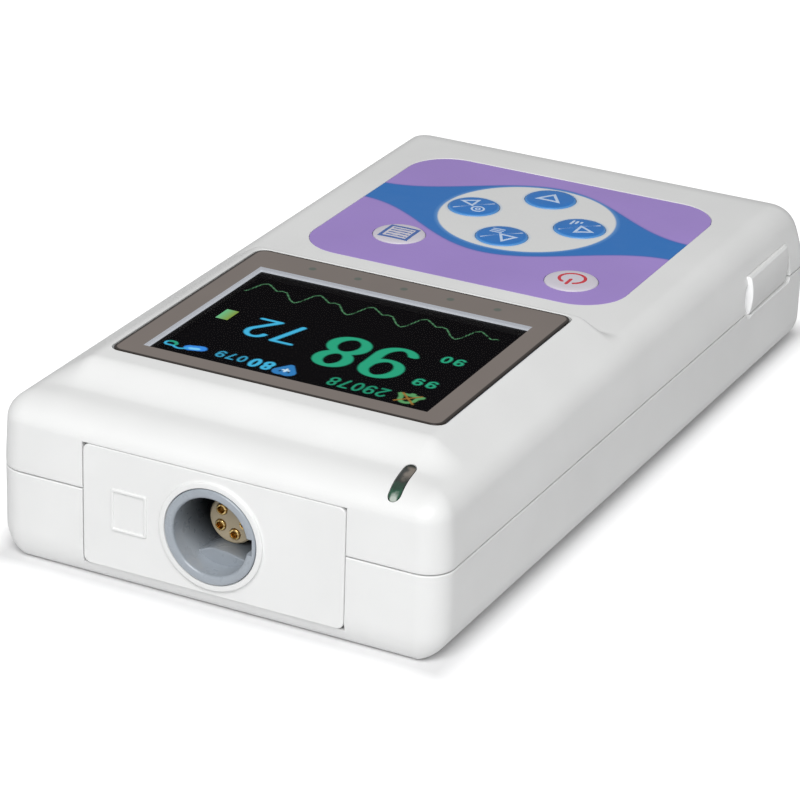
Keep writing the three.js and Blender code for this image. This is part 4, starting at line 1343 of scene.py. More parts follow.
class Picture:
    """Pixels of the display, on which a pen lays strokes given in case coordinates, in millimetres."""

    def __init__(self):
        screen = sizes("screen")
        pixel = screen.pixel / MM
        middle = (screen.clear_far + screen.clear_near) / 2 / MM
        self.x = (np.arange(screen.columns) + 0.5 - screen.columns / 2) * pixel
        y = (np.arange(screen.rows) + 0.5 - screen.rows / 2) * pixel + middle
        self.place = np.stack(np.meshgrid(self.x, y), axis=-1)
        self.colours = np.zeros((screen.rows, screen.columns, 3))

    def lay(self, share, tone):
        """Covers each pixel by its share with a tone, one for all or one for each column."""
        share = share[..., None]
        self.colours = self.colours * (1 - share) + np.asarray(tone) * share

    def draw(self, tone, nib, *lines):
        """Follows each line with a nib of two half sizes."""
        for line in lines:
            self.lay(inked(self.place, line, nib), tone)

    def write(self, digits, centres, y, size, tone, nib):
        """Digits of an outer size, centred on places along X."""
        inner = np.array(size) - 2 * np.array(nib)
        for digit, centre in zip(digits, centres):
            self.draw(tone, nib, *((line - (0, 0.5)) * inner + (centre, y) for line in DIGITS[digit]))


def write_readings(picture):
    """Two large readings, the scale beside the pulse wave, and the small numbers of the upper row."""
    scale_x = (-15.2, -13.4)
    upper_y = 35.6
    picture.write("98", (-7.55, -0.95), 27.2, (5.8, 9.9), READOUT_GREEN, (0.74, 0.42))
    picture.write("72", (7.0, 11.2), 25.7, (3.4, 6.0), READOUT_AQUA, (0.38, 0.27))
    picture.write("99", scale_x, 30.5, (1.35, 2.1), READOUT_GREEN, (0.2, 0.17))
    picture.write("90", scale_x, 22.7, (1.35, 2.1), READOUT_GREEN, (0.2, 0.17))
    dim_green = shade(READOUT_GREEN, 0.8)
    dim_aqua = shade(READOUT_AQUA, 0.75)
    picture.write("29078", np.linspace(-11.0, -4.3, 5), upper_y, (1.35, 2.5), dim_green, (0.17, 0.17))
    picture.write("80", (4.9, 6.7), upper_y, (1.5, 2.6), READOUT_AQUA, (0.26, 0.24))
    picture.write("079", (8.6, 10.1, 11.6), upper_y - 0.2, (1.15, 1.9), dim_aqua, (0.15, 0.15))


def draw_icons(picture):
    """Generic icons of the upper row: a crossed bell, a heart with a plus, and a clip on a looped cord."""
    dome = arc(-14.5, 35.5, 1.0, 1.3, 180, 0)
    bell = np.concatenate((stroke((-16.0, 34.6), (-15.5, 35.2)), dome, stroke((-13.0, 34.6))))
    rim = stroke((-16.0, 34.6), (-13.0, 34.6))
    clapper = stroke((-14.6, 34.2), (-14.4, 34.2))
    picture.draw((0.1, 0.32, 0.12), (0.3, 0.3), bell, rim, clapper)
    cross = stroke((-15.7, 36.8), (-13.2, 34.3)), stroke((-13.2, 36.8), (-15.7, 34.3))
    picture.draw((0.3, 0.15, 0.03), (0.15, 0.15), *cross)
    left_lobe = arc(1.75, 36.2, 0.62, 0.6, 0, 200)
    right_lobe = arc(2.85, 36.2, 0.62, 0.6, -20, 180)
    heart = np.concatenate((left_lobe, [(2.3, 34.3)], right_lobe))
    picture.draw((0.03, 0.2, 0.5), (0.42, 0.42), heart)
    plus = stroke((1.9, 35.7), (2.7, 35.7)), stroke((2.3, 35.3), (2.3, 36.1))
    picture.draw(READOUT_WHITE, (0.16, 0.16), *plus)
    picture.draw((0.04, 0.25, 0.75), (0.85, 0.75), stroke((14.6, 35.3), (15.9, 35.7)))
    picture.draw((0.2, 0.6, 0.9), (0.4, 0.3), stroke((14.9, 35.6), (15.7, 35.8)))
    cord = np.concatenate((arc(17.2, 34.9, 1.3, 1.6, 140, 50), arc(18.7, 35.6, 0.75, 0.6, 60, -170)))
    picture.draw(READOUT_AQUA, (0.17, 0.17), cord)
    picture.draw(READOUT_GREEN, (0.2, 0.2), arc(18.7, 35.6, 0.75, 0.6, -60, -200))


def fill_bar(picture):
    """Bar beside the smaller reading, from olive at its left to green at its right."""
    left, right, low, high = 16.2, 18.1, 22.6, 25.7
    olive = np.array((0.22, 0.3, 0.04))
    green = np.array((0.14, 0.5, 0.25))
    across, along = picture.place[..., 0], picture.place[..., 1]
    inside = (across > left) & (across < right) & (along > low) & (along < high)
    fill = np.clip((picture.x - left) / (right - left), 0, 1)[:, None]
    picture.lay(inside.astype(float), olive * (1 - fill) + green * fill)


def draw_pulse(picture):
    """Pulse wave of fine strokes: each beat falls from its peak over a small hump to the trough and rises
    steeply. It is drawn dotted, with a break near its start."""
    share = np.array([0, 0.12, 0.3, 0.4, 0.48, 0.62, 0.75, 0.84, 0.93, 1])
    height = np.array([16.4, 15.7, 13.9, 13.7, 14.1, 13.2, 12.4, 12.9, 15.6, 16.4])
    beat_start, beat_length = -11.4, 7.7
    break_start, break_end = -15.1, -14.6
    reach = 0.8
    x = np.linspace(-16.3, 19.1, 300)
    wave = np.column_stack((x, np.interp(np.mod((x - beat_start) / beat_length, 1), share, height)))
    cover = np.where(np.sin(x * 9) > -0.2, 0.8, 0.32)
    for start, end, strength in zip(wave, wave[1:], cover):
        if start[0] < break_start or start[0] > break_end:
            near = np.abs(picture.x - start[0]) < reach
            inkshare = np.zeros(picture.place.shape[:-1])
            inkshare[:, near] = inked(picture.place[:, near], (start, end), (0.06, 0.06)) * strength
            picture.lay(inkshare, (0.12, 0.36, 0.17))


def readout_picture():
    """Colour of each pixel of the display."""
    picture = Picture()
    write_readings(picture)
    draw_icons(picture)
    fill_bar(picture)
    draw_pulse(picture)
    return picture.colours


def pixel_sheet(bottom, top):
    """Thin closed sheet whose upper side is one square face for each pixel."""
    screen = sizes("screen")
    columns, rows = screen.columns, screen.rows
    mid_y = (screen.clear_far + screen.clear_near) / 2
    x = (np.arange(columns + 1) - columns / 2) * screen.pixel
    y = (np.arange(rows + 1) - rows / 2) * screen.pixel + mid_y
    grid = np.stack((*np.meshgrid(x, y), np.full((rows + 1, columns + 1), top)), axis=-1).reshape(-1, 3)
    wide = columns + 1
    here = (np.arange(rows)[:, None] * wide + np.arange(columns)).ravel()
    quads = np.stack((here, here + 1, here + 1 + wide, here + wide), axis=-1).tolist()
    base = len(grid)
    low = np.array([(x[0], y[0]), (x[-1], y[0]), (x[-1], y[-1]), (x[0], y[-1])])
    edges = (
        np.arange(wide), np.arange(rows + 1) * wide + columns,
        (rows * wide + np.arange(wide))[::-1], (np.arange(rows + 1) * wide)[::-1],
    )
    sides = [[base + turn, base + (turn + 1) % 4, *edge[::-1].tolist()] for turn, edge in enumerate(edges)]
    return np.concatenate((grid, at(low, bottom))), quads + sides + [[base + 3, base + 2, base + 1, base]]


def make_window():
    """Window, as a flat plate."""
    screen = sizes("screen")
    low, high = place_of("display_window")
    plate = body("window_plate", plaque(low, high, screen.window_corner, 10, 0.05 * MM, 0.12 * MM))
    dress(plate, "case", "window", window_print(), "display_window")


def make_glass():
    """Glass of the display, which reaches past its pixels toward the keypad."""
    low, high = place_of("lcd_panel")
    low[1] -= sizes("screen").glass_reach
    glass = body("display_glass", plaque(low, high, 0.25 * MM, 4, 0.05 * MM, 0.08 * MM))
    dress(glass, "case", "display_black", display_black(), "lcd_panel")


def make_readout():
    """Sheet of pixels on the glass, each face with its colour in an attribute."""
    top = place_of("lcd_panel")[1][2]
    half = 0.02 * MM
    sheet = body("display_readout", pixel_sheet(top - half, top + half))
    colours = readout_picture().reshape(-1, 3)
    values = np.zeros((len(sheet.data.polygons), 4))
    values[:, 3] = 1
    values[:len(colours), :3] = colours
    readout = sheet.data.attributes.new("readout", "FLOAT_COLOR", "FACE")
    readout.data.foreach_set("color", values.ravel())
    sheet.data.materials.append(readout_light())
    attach(sheet, "case")


def make_display_frame():
    """Tray of the display with a flange round its top and a pocket for the glass."""
    screen = sizes("screen")
    low, high = place_of("lcd_tray")
    tray = body("display_frame", plaque(low, high, 0.3 * MM, 4, 0.05 * MM, 0.1 * MM))
    rim = 0.58 * MM
    wide = screen.flange
    flange_low = (low[0] - wide / 2, low[1] - wide, high[2] - 0.5 * MM)
    flange_high = (high[0] + wide / 2, high[1] + wide, high[2] + 0.08 * MM)
    carve(tray, "UNION", plaque(flange_low, flange_high, 0.5 * MM, 4, 0.05 * MM, 0.1 * MM))
    far = low[1] + rim - screen.glass_reach
    pocket = block(low[0] + rim, high[0] - rim, far, high[1] - rim, high[2] - 1.8 * MM, high[2] + MM)
    carve(tray, "DIFFERENCE", pocket)
    dress(tray, "case", "tray_white", tray_white(), "lcd_tray")


# Keypad


@titled("label_film")
def film_print(finish):
    """Matt film: violet field, a blue band whose half width swells with cos^2, and a white disc behind the
    arrow keys with a pale rim."""
    keypad = sizes("keypad")
    band_y = -28.9
    disc_x, disc_y = -0.2, -29.6
    x, y, _ = finish.split()
    wave = finish.math("COSINE", x * (math.pi / (keypad.band_wave / MM)))
    half = wave * wave * (keypad.band_swell / MM) + keypad.band_half / MM
    over = abs(y - band_y) - half
    band = finish.within(over, 0, 0.12)
    fringe = finish.within(abs(over), 0.28, 0.4)
    aside = x - disc_x
    down = y - disc_y
    away = finish.math("SQRT", aside * aside + down * down) - keypad.disc / MM
    disc = finish.within(away, 0, 0.25)
    halo = finish.within(abs(away - 0.1), 0.32, 0.45)
    drift = finish.spread(finish.noise(16, 2), 0, 1)
    violet = finish.mix(drift, shade(paint("violet"), 0.96), shade(paint("violet"), 1.04))
    tint = finish.mix(band, violet, paint("blue"))
    tint = finish.mix(fringe * 0.35, tint, (0.09, 0.11, 0.45))
    tint = finish.mix(halo * 0.3, tint, (0.25, 0.48, 0.78))
    tint = finish.mix(disc, tint, (0.75, 0.755, 0.75))
    around = finish.within(abs(arrow_gap(finish, x, y)), 0.3, 0.35)
    tint = finish.mix(around * disc * 0.4, tint, (0.35, 0.52, 0.75))
    return finish.plastic({
        "Base Color": tint,
        "Roughness": finish.spread(finish.noise(5), 0.4, 0.48),
        "Normal": finish.bump(finish.noise(0.09, 2), 0.004 * MM),
    })


def arrow_gap(finish, x, y):
    """Distance from the edge of the nearest arrow key, in millimetres."""
    keypad = sizes("keypad")
    side = abs(x)
    away = abs(y - ARROWS_Y / MM)

    def apart(first, second):
        first = first - keypad.arrow_reach / MM
        return finish.math("SQRT", first * first + second * second) - keypad.cap / MM

    return finish.math("MINIMUM", apart(side, away), apart(away, side))


@titled("key_blue")
def key_blue(finish):
    """Soft moulded plastic whose print fades to a paler rim at the edge of the cap."""
    tone = shade(paint("blue"), 1.05)
    x, y, _ = finish.split()
    edge = finish.within(abs(arrow_gap(finish, x, y)), 0.22, 0.35)
    drift = finish.spread(finish.noise(2.2), 0, 1)
    tint = finish.mix(drift, shade(tone, 0.96), shade(tone, 1.04))
    return finish.plastic({
        "Base Color": finish.mix(edge * 0.45, tint, (0.2, 0.5, 0.85)),
        "Roughness": finish.spread(finish.noise(1.5), 0.34, 0.44),
        "Normal": finish.bump(finish.noise(0.12, 2), 0.004 * MM),
    })


@titled("key_white")
def key_white(finish):
    """Pale lilac plastic of the menu and power keys."""
    return moulded(finish, (0.66, 0.63, 0.7), 0.4, 0.12, 0.004 * MM)


def ink(title, tone):
    """Screen print: flat colour with a slight unevenness of gloss and cover."""
    def make(finish):
        cover = finish.spread(finish.noise(0.5), 0, 1)
        return finish.plastic({
            "Base Color": finish.mix(cover, shade(tone, 0.92), shade(tone, 1.06)),
            "Roughness": finish.spread(finish.noise(0.7), 0.35, 0.5),
        })
    return once(title, make)


# How far the lower and the upper side of a key's print lie over the cap
PRINT_LIFTS = (-0.06 * MM, 0.012 * MM)


def crown(x, y):
    """Height of a key's cap at a distance from its middle: its top less a fall by the distance squared."""
    proud = 0.25 * MM
    fall = 0.1 * MM
    reach = 3.35 * MM
    return KEYPAD_TOP + proud - fall * (x * x + y * y) / reach ** 2


def ribbon(line, half, middle):
    """Printed stroke along an open line of pairs, with round ends, draped on the cap round its middle."""
    line = np.asarray(line) * MM
    run = np.gradient(line, axis=0)
    run /= np.linalg.norm(run, axis=1)[:, None]
    across = np.column_stack((-run[:, 1], run[:, 0])) * half
    turn = np.linspace(0, 2 * QUARTER, 7)[1:-1]
    cos, sin = np.cos(turn)[:, None], np.sin(turn)[:, None]
    end = line[-1] - across[-1] * cos + run[-1] * half * sin
    start = line[0] + across[0] * cos - run[0] * half * sin
    outline = np.concatenate((line - across, end, (line + across)[::-1], start))
    return stack([draped(outline, lift, middle) for lift in PRINT_LIFTS])


def draped(outline, lift, middle):
    """The outline at a lift over the cap round its middle."""
    return at(outline + middle, crown(outline[:, 0], outline[:, 1]) + lift)


def band(outer, inner, middle):
    """Printed ring between two outlines of equal count, in millimetres."""
    outer, inner = (finer(np.asarray(outline)) * MM for outline in (outer, inner))
    low, high = PRINT_LIFTS
    sides = ((outer, low), (outer, high), (inner, high), (inner, low))
    return looped([draped(outline, lift, middle) for outline, lift in sides])


def finer(outline, parts=6):
    """The closed outline with each side split into even parts, so that it can follow a curved cap."""
    share = np.arange(parts)[:, None] / parts
    ahead = np.roll(outline, -1, axis=0)
    return np.concatenate([start * (1 - share) + end * share for start, end in zip(outline, ahead)])


def frame_of(corners, half):
    """Outer and inner outline of a closed line through corners, mitred by the half width."""
    corners = np.asarray(corners, float)
    ahead = np.roll(corners, -1, axis=0) - corners
    ahead /= np.linalg.norm(ahead, axis=1)[:, None]
    behind = np.roll(ahead, 1, axis=0)
    out_ahead = np.column_stack((ahead[:, 1], -ahead[:, 0]))
    out_behind = np.column_stack((behind[:, 1], -behind[:, 0]))
    mitre = (out_ahead + out_behind) / (1 + np.sum(out_ahead * out_behind, axis=1))[:, None]
    return corners + mitre * half, corners - mitre * half


def straight(start, end):
    """Eight places from one to the other."""
    even = np.linspace(0, 1, 8)[:, None]
    return np.array(start) * (1 - even) + np.array(end) * even


def power_prints(middle):
    """Open ring with an upright stroke in its gap."""
    nib = 0.23 * MM
    ring = arc(0, -0.35, 1.75, 1.75, 118, 422, 48)
    return [ribbon(ring, nib, middle), ribbon(straight((0, 0.1), (0, 1.75)), nib, middle)]


def menu_prints(middle):
    """Sheet with four lines, each with a dot before it."""
    half = sizes("keypad").stroke / 2
    side = 2.0
    square = [(-side, -side), (side, -side), (side, side), (-side, side)]
    rows = (-1.2, -0.4, 0.4, 1.2)
    lines = [straight((-1.1, y), (1.3, y)) for y in rows] + [straight((-1.5, y), (-1.42, y)) for y in rows]
    sheet = band(*frame_of(square, half / MM * 1.1), middle)
    return [sheet] + [ribbon(line, half * 0.62, middle) for line in lines]


def arrow_prints(name, middle):
    """Triangle of an arrow key, and past a slanted stroke a list, rising bars or two rings. The lower key has
    the triangle alone."""
    half = sizes("keypad").stroke / 2
    if name == "down":
        return [band(*frame_of([(-1.55, 0.95), (0, -1.35), (1.55, 0.95)], half / MM), middle)]
    matrix = plan_turn({"up": 0, "left": QUARTER, "right": -QUARTER}[name])
    way = -1 if name == "right" else 1
    centre = np.array((-1.0, 0.9)) * way
    spot = np.array((1.1, -1.05)) * way
    triangle = np.array([(-1.15, -0.85), (1.15, -0.85), (0, 1.2)]) @ matrix + centre
    slant = ribbon(straight((-2.2, -2.0), (2.2, 2.0)), half * 0.6, middle)
    shapes = [band(*frame_of(triangle, half / MM * 0.85), middle), slant]
    if name == "up":
        lines = [straight((-0.8, y), (0.8, y)) for y in (-0.6, 0.0, 0.6)]
        shapes += [ribbon(line + spot, half * 0.7, middle) for line in lines]
    elif name == "left":
        lines = [straight((x, -0.75), (x, 0.2 + x * 0.8)) for x in (-0.7, -0.1, 0.5)]
        shapes += [ribbon(line + spot, half * 0.8, middle) for line in lines]
    else:
        for outer, inner, end, steps in ((1.0, 0.72, 351, 39), (0.42, 0.2, 345, 23)):
            rings = [arc(*spot, radius, radius, 0, end, steps) for radius in (outer, inner)]
            shapes.append(band(*rings, middle))
    return shapes


def key_prints(name, middle):
    """Symbols of one key, as shapes: generic ones only."""
    makers = {"power": power_prints, "menu": menu_prints}
    return makers[name](middle) if name in makers else arrow_prints(name, middle)


def make_film():
    """Printed film with a hole for each key."""
    low, high = place_of("keypad_overlay")
    corner = sizes("keypad").label_corner
    hole = sizes("keypad").cap + 0.05 * MM
    film = body("keypad_film", plaque(low, high, corner, 24, 0.03 * MM, 0.08 * MM))
    holes = [drum(*middle_of("key_" + name)[:2], low[2] - MM, high[2] + MM, hole, 96) for name in KEY_NAMES]
    carve(film, "DIFFERENCE", *holes)
    dress(film, "case", "label_film", film_print(), "keypad_overlay")


def make_key(name):
    """Key with a stem on its switch, a flange under the shell and a crowned cap, and its printed symbols."""
    low = place_of("key_" + name)[0][2]
    middle = middle_of("key_" + name)[:2]
    cap = sizes("keypad").cap
    stem = 1.1 * MM
    flange = 4.4 * MM
    flange_low = low + 1.8 * MM
    flange_high = low + 2.6 * MM
    bevel = 0.1 * MM
    edge = 0.3 * MM
    side = crown(cap - edge, 0) - 0.06 * MM
    profile = [
        (0, low), (stem - bevel, low), (stem, low + bevel), (stem, flange_low),
        (flange - bevel, flange_low), (flange, flange_low + bevel),
        (flange, flange_high - bevel), (flange - bevel, flange_high), (cap, flange_high),
    ]
    profile += eased(cap, side, edge, edge)
    profile += [(radius, crown(radius, 0)) for radius in np.linspace(cap - edge, 0, 12)[1:]]
    key = body("cap_" + name, spun(profile, *middle))
    white = name in ("menu", "power")
    slot = "key_white" if white else "key_blue"
    dress(key, name + "_key", slot, key_white() if white else key_blue(), "key_" + name)
    tones = {"power": ("ink_red", paint("red")), "menu": ("ink_blue", (0.06, 0.14, 0.42))}
    title, tone = tones.get(name, ("ink_pale", paint("ink")))
    mark = body("mark_" + name, *key_prints(name, middle))
    dress(mark, name + "_key", slot, ink(title, tone))


# Probe socket


def keyway_tools(front):
    """Tools for the slot beside the bore that guides the plug, and for its wider mouth."""
    low = SOCKET_Z - 0.95 * MM
    high = SOCKET_Z + 1.1875 * MM
    inner = -4.0 * MM
    slot = block(-5.45 * MM, inner, front - 7 * MM, front + MM, low, high)
    mouth = block(-5.8 * MM, inner, front - 1.3 * MM, front + MM, low, high)
    return slot, mouth


def socket_ledge(floor):
    """Ledge low in the bore: between the bore's lower arc and a wavy top line, its near edge eased."""
    below = arc(0, SOCKET_Z / MM, 5.25, 5.25, 226, 312, 30) * MM
    top = stroke((3.0, -3.65), (2.1, -3.2), (1.2, -3.0), (-0.6, -3.15), (-2.2, -3.45), (-3.6, -3.75))
    top = top * MM + (0, SOCKET_Z)
    steps = ((-0.1, 0), (9.0, 0), (9.2, 0.06), (9.28, 0.2))
    levels = [at(np.concatenate((below, top - (0, drop * MM))), floor + run * MM) for run, drop in steps]
    return axes(stack(levels), (0, 2, 1))


def make_socket_shell():
    """Socket turned in one profile, ring, bore and floor, with its keyway and its ledge."""
    socket = sizes("socket")
    low, high = place_of("probe_socket")
    back, front = low[1], high[1]
    flange_back = front - 1.55 * MM
    floor = back + 3.6 * MM
    edge = 0.25 * MM
    lead = edge * 1.6
    core = socket.core + 0.1 * MM
    profile = [(core, back), (socket.barrel - edge, back), (socket.barrel, back + edge)]
    profile += [(socket.barrel, flange_back), (socket.flange, flange_back)]
    profile += eased(socket.flange, front, edge, edge)
    profile += eased(socket.bore, front, -lead, lead)[::-1]
    profile += [(socket.bore, floor + edge), (socket.bore - edge, floor), (core, floor)]
    shell = body("socket_form", hoop(profile, 0, SOCKET_Z, "Y", 160))
    carve(shell, "DIFFERENCE", *keyway_tools(front))
    carve(shell, "UNION", socket_ledge(floor))
    shell.name = "socket_shell"
    dress(shell, "case", "socket_grey", socket_grey(), "probe_socket")


def contact_well(node):
    """Tool for the hole that a contact stands in, wider at its mouth."""
    x, _, z = middle_of(node)
    front = place_of(node)[1][1]
    radius = 0.76 * MM
    profile = [(0, front - 1.2 * MM), (radius, front - 1.2 * MM), (radius, front - 0.4 * MM)]
    profile += [(0.9 * MM, front + MM), (0, front + MM)]
    return spun(profile, x, z, "Y", 40)


def make_socket_core():
    """Insulator with a well for each contact."""
    core = sizes("socket").core
    low, high = place_of("socket_insulator")
    back, front = low[1], high[1]
    bevel = 0.2 * MM
    profile = [(0, back), (core, back), (core, front - bevel), (core - bevel, front), (0, front)]
    insulator = body("socket_core_form", spun(profile, 0, SOCKET_Z, "Y"))
    carve(insulator, "DIFFERENCE", *(contact_well(node) for node in CONTACTS))
    insulator.name = "socket_core"
    dress(insulator, "case", "core_beige", core_beige(), "socket_insulator")


def make_contact(node):
    """Contact with a thin tail, a hollow front and four slots in its wall."""
    socket = sizes("socket")
    x, _, z = middle_of(node)
    low, high = place_of(node)
    back, front = low[1], high[1]
    outer = socket.contact
    bore = socket.contact_bore
    tail = 0.35 * MM
    edge = 0.1 * MM
    profile = [(0, back), (tail, back), (tail, back + 3.4 * MM), (outer, back + 3.6 * MM)]
    profile += eased(outer, front, edge, edge, 5)
    profile += [(bore + 0.06 * MM, front), (bore, front - 0.15 * MM)]
    profile += [(bore, front - 6 * MM), (0, front - 6.2 * MM)]
    contact = body("contact_form", spun(profile, x, z, "Y", 40))
    deep = front - 3 * MM
    half = 0.055 * MM
    slots = [
        block(x - across, x + across, deep, front + MM, z - up, z + up)
        for across, up in ((MM, half), (half, MM))
    ]
    carve(contact, "DIFFERENCE", *slots)
    contact.name = node.replace("probe_contact", "contact")
    dress(contact, "case", "contact_gold", gold(), node)


# Side port


def make_port_cover():
    """Rubber flap, made of level outlines from its lower to its upper edge: a round hinge end, a flat inner
    side, and an outer side that bows by the square of the height and is eased at both edges."""
    low, high = place_of("port_cover")
    radius = (high[0] - low[0]) / 2
    middle_x = high[0] - radius
    middle_z = (low[2] + high[2]) / 2
    half_z = (high[2] - low[2]) / 2
    near = high[1]
    soft = 0.25 * MM
    bow = 0.45 * MM
    crisp = 0.18 * MM
    turn = np.linspace(2 * QUARTER, 4 * QUARTER, 25)
    corner = np.linspace(0, QUARTER, 7)
    levels = []
    for share in np.linspace(-1, 1, 25):
        outer = low[0] + bow * share * share + soft * fallen(((abs(share) - 1) * half_z + soft) / soft)
        reach = np.where(turn < 3 * QUARTER, middle_x - outer, radius)
        hinge = np.column_stack((middle_x + reach * np.cos(turn), low[1] + radius + radius * np.sin(turn)))
        edge = np.column_stack((outer + crisp * (1 - np.sin(corner)), near - crisp * (1 - np.cos(corner))))
        levels.append(at(np.concatenate((hinge, [(high[0], near)], edge)), middle_z + half_z * share))
    flap = body("port_flap", stack(levels))
    dress(flap, "cover", "cover_rubber", rubber(), "port_cover")


def make_port():
    """Port behind the cover: a round-cornered metal shell and the tongue in it."""
    low, high = place_of("usb_socket")

    def outline(draw):
        return rounded(low[1] + draw, high[1] - draw, low[2] + draw, high[2] - draw, 1.2 * MM - draw)

    wall = 0.35 * MM
    bevel = 0.1 * MM
    steps = (
        (0, high[0]), (0, low[0] + bevel), (bevel, low[0]), (wall, low[0] + bevel / 2), (wall, high[0] - wall)
    )
    levels = [at(outline(draw), x) for draw, x in steps]
    shell = body("port_shell", axes(stack(levels), (2, 0, 1)))
    dress(shell, "case", "steel", steel(), "usb_socket")
    _, y, z = middle_of("usb_socket")
    tongue_low = (y - 2.4 * MM, z - 0.4 * MM, low[0] + 1.4 * MM)
    tongue_high = (y + 2.4 * MM, z + 0.4 * MM, high[0] - 0.3 * MM)
    plate = plaque(tongue_low, tongue_high, 0.15 * MM, 3, 0.1 * MM, 0.05 * MM)
    dress(body("port_tongue", axes(plate, (2, 0, 1))), "case", "inner_black", inner_black())


def make_lens():
    """Upright bar trimmed by the outer form of the front."""
    lens = body("lamp_lens", lamp_bar(0, 17 * MM, TOP))
    carve(lens, "INTERSECT", front_form())
    dress(lens, "case", "pipe_smoke", smoky_lens(), "light_pipe")


# Battery and screws


def make_battery():
    """Flat cell with round edges."""
    low, high = place_of("battery_pack")
    pack = body("battery_cell", plaque(low, high, 1.4 * MM, 6, 1.1 * MM, 1.1 * MM))
    dress(pack, "case", "battery_blue", battery_film(), "battery_pack")


def make_screw(node):
    """Screw with a crossed recess: an eased head, a shank and a short point."""
    low, high = place_of(node)
    x, y = middle_of(node)[:2]
    head = (high[0] - low[0]) / 2
    bottom = low[2]
    head_top = bottom + 1.4 * MM
    edge = 0.35 * MM
    shank = 1.05 * MM
    profile = [(0, bottom)] + eased(head, bottom, edge, -edge)[::-1]
    profile += [(head, head_top), (shank, head_top), (shank, high[2] - 0.8 * MM)]
    profile += [(0.4 * MM, high[2]), (0, high[2])]
    screw = body("screw_form", spun(profile, x, y, sides=48))
    arm = 1.1 * MM
    half = 0.2 * MM
    steps = ((1, bottom - MM), (1, bottom), (0.55, bottom + 0.9 * MM))
    crosses = []
    for wide, tall in ((arm, half), (half, arm)):
        mouth = np.array([(-wide, -tall), (wide, -tall), (wide, tall), (-wide, tall)])
        crosses.append(stack([at(mouth * share + (x, y), z) for share, z in steps]))
    carve(screw, "DIFFERENCE", *crosses)
    screw.name = node.replace("case_screw", "screw")
    dress(screw, "case", "steel", steel(), node)


def finish_inside():
    """Finishes of the inner nodes that keep their CAD mesh."""
    finishes = {
        "lcd_holder": inner_black, "lcd_flex": flat_cable, "main_board": board_green,
        "processor_chip": inner_black, "analog_chip": inner_black, "buzzer": inner_black,
        "status_led": tray_white, "socket_nut": steel, "probe_ribbon": flat_cable,
        "probe_connector": tray_white, "battery_connector": inner_black,
    }
    finishes.update({"switch_" + name: inner_black for name in KEY_NAMES})
    finishes.update({"battery_spring_%d" % number: gold for number in (1, 2, 3)})
    for node, finish in finishes.items():
        for slot in bpy.data.objects[node].material_slots:
            slot.material = finish()


# Stage

# Camera in case coordinates, found by matching the case's edges, and its roll and focal length
CAMERA_AT = (-175.045 * MM, 366.077 * MM, 188.872 * MM)
CAMERA_TARGET = (-3.464 * MM, 15.273 * MM, 12.0 * MM)
CAMERA_ROLL = math.radians(1.866)
CAMERA_LENS = 149.93
SENSOR_WIDTH = 36

# Lamp: its place, its width in metres and its power in watts
LAMP_AT = (-0.16, 0.5, 0.56)
LAMP_WIDTH = 0.5
LAMP_POWER = 4.85

# The world's strength as light, and the floor: its radius, its tone, the distance from the case at which its
# glow for the camera is half grown, and the length over which it grows, in millimetres; held back near the
# case, the glow paints shade round it
WORLD_LIGHT = 0.4
FLOOR_RADIUS = 1.6
FLOOR_TONE = (0.74, 0.74, 0.745)
GLOW_HALF = 3.2
GLOW_SOFT = 6.4


def make_stage():
    """Camera at the photograph's angle, white floor, soft studio lamp."""
    scene = bpy.context.scene
    camera = bpy.data.objects.new("camera", bpy.data.cameras.new("camera"))
    scene.collection.objects.link(camera)
    where = Vector(CAMERA_AT)
    look = Vector(CAMERA_TARGET) - where
    camera.rotation_mode = "QUATERNION"
    camera.rotation_quaternion = look.to_track_quat("-Z", "Y") @ Quaternion((0, 0, 1), CAMERA_ROLL)
    camera.location = where + Vector(CENTRE)
    camera.data.lens = CAMERA_LENS
    camera.data.sensor_width = SENSOR_WIDTH
    camera.data.clip_start = 0.01
    scene.camera = camera
    floor = body("floor", drum(0, 0, -4 * MM, -0.02 * MM, FLOOR_RADIUS, 96))
    floor.data.materials.append(floor_white())
    floor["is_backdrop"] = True
    make_lamp()
    scene.world = studio_world()
    scene.view_settings.view_transform = "Standard"


def studio_world():
    """White world: full for the camera and behind clear parts, and lower as light."""
    world = bpy.data.worlds.new("studio")
    world.use_nodes = True
    tree = world.node_tree
    tree.nodes.clear()
    path = tree.nodes.new("ShaderNodeLightPath")
    seen = tree.nodes.new("ShaderNodeMath")
    seen.operation = "MAXIMUM"
    tree.links.new(path.outputs["Is Camera Ray"], seen.inputs[0])
    tree.links.new(path.outputs["Is Transmission Ray"], seen.inputs[1])
    strength = tree.nodes.new("ShaderNodeMapRange")
    strength.inputs["To Min"].default_value = WORLD_LIGHT
    strength.inputs["To Max"].default_value = 1.0
    tree.links.new(seen.outputs[0], strength.inputs["Value"])
    background = tree.nodes.new("ShaderNodeBackground")
    tree.links.new(strength.outputs[0], background.inputs["Strength"])
    output = tree.nodes.new("ShaderNodeOutputWorld")
    tree.links.new(background.outputs[0], output.inputs["Surface"])
    return world


def make_lamp():
    """Round soft lamp that looks at the middle of the case."""
    light = bpy.data.lights.new("key", "AREA")
    light.shape = "DISK"
    light.size = LAMP_WIDTH
    light.energy = LAMP_POWER
    holder = bpy.data.objects.new("key", light)
    holder.location = LAMP_AT
    holder.rotation_mode = "QUATERNION"
    holder.rotation_quaternion = (-Vector(LAMP_AT)).to_track_quat("-Z", "Y")
    bpy.context.scene.collection.objects.link(holder)


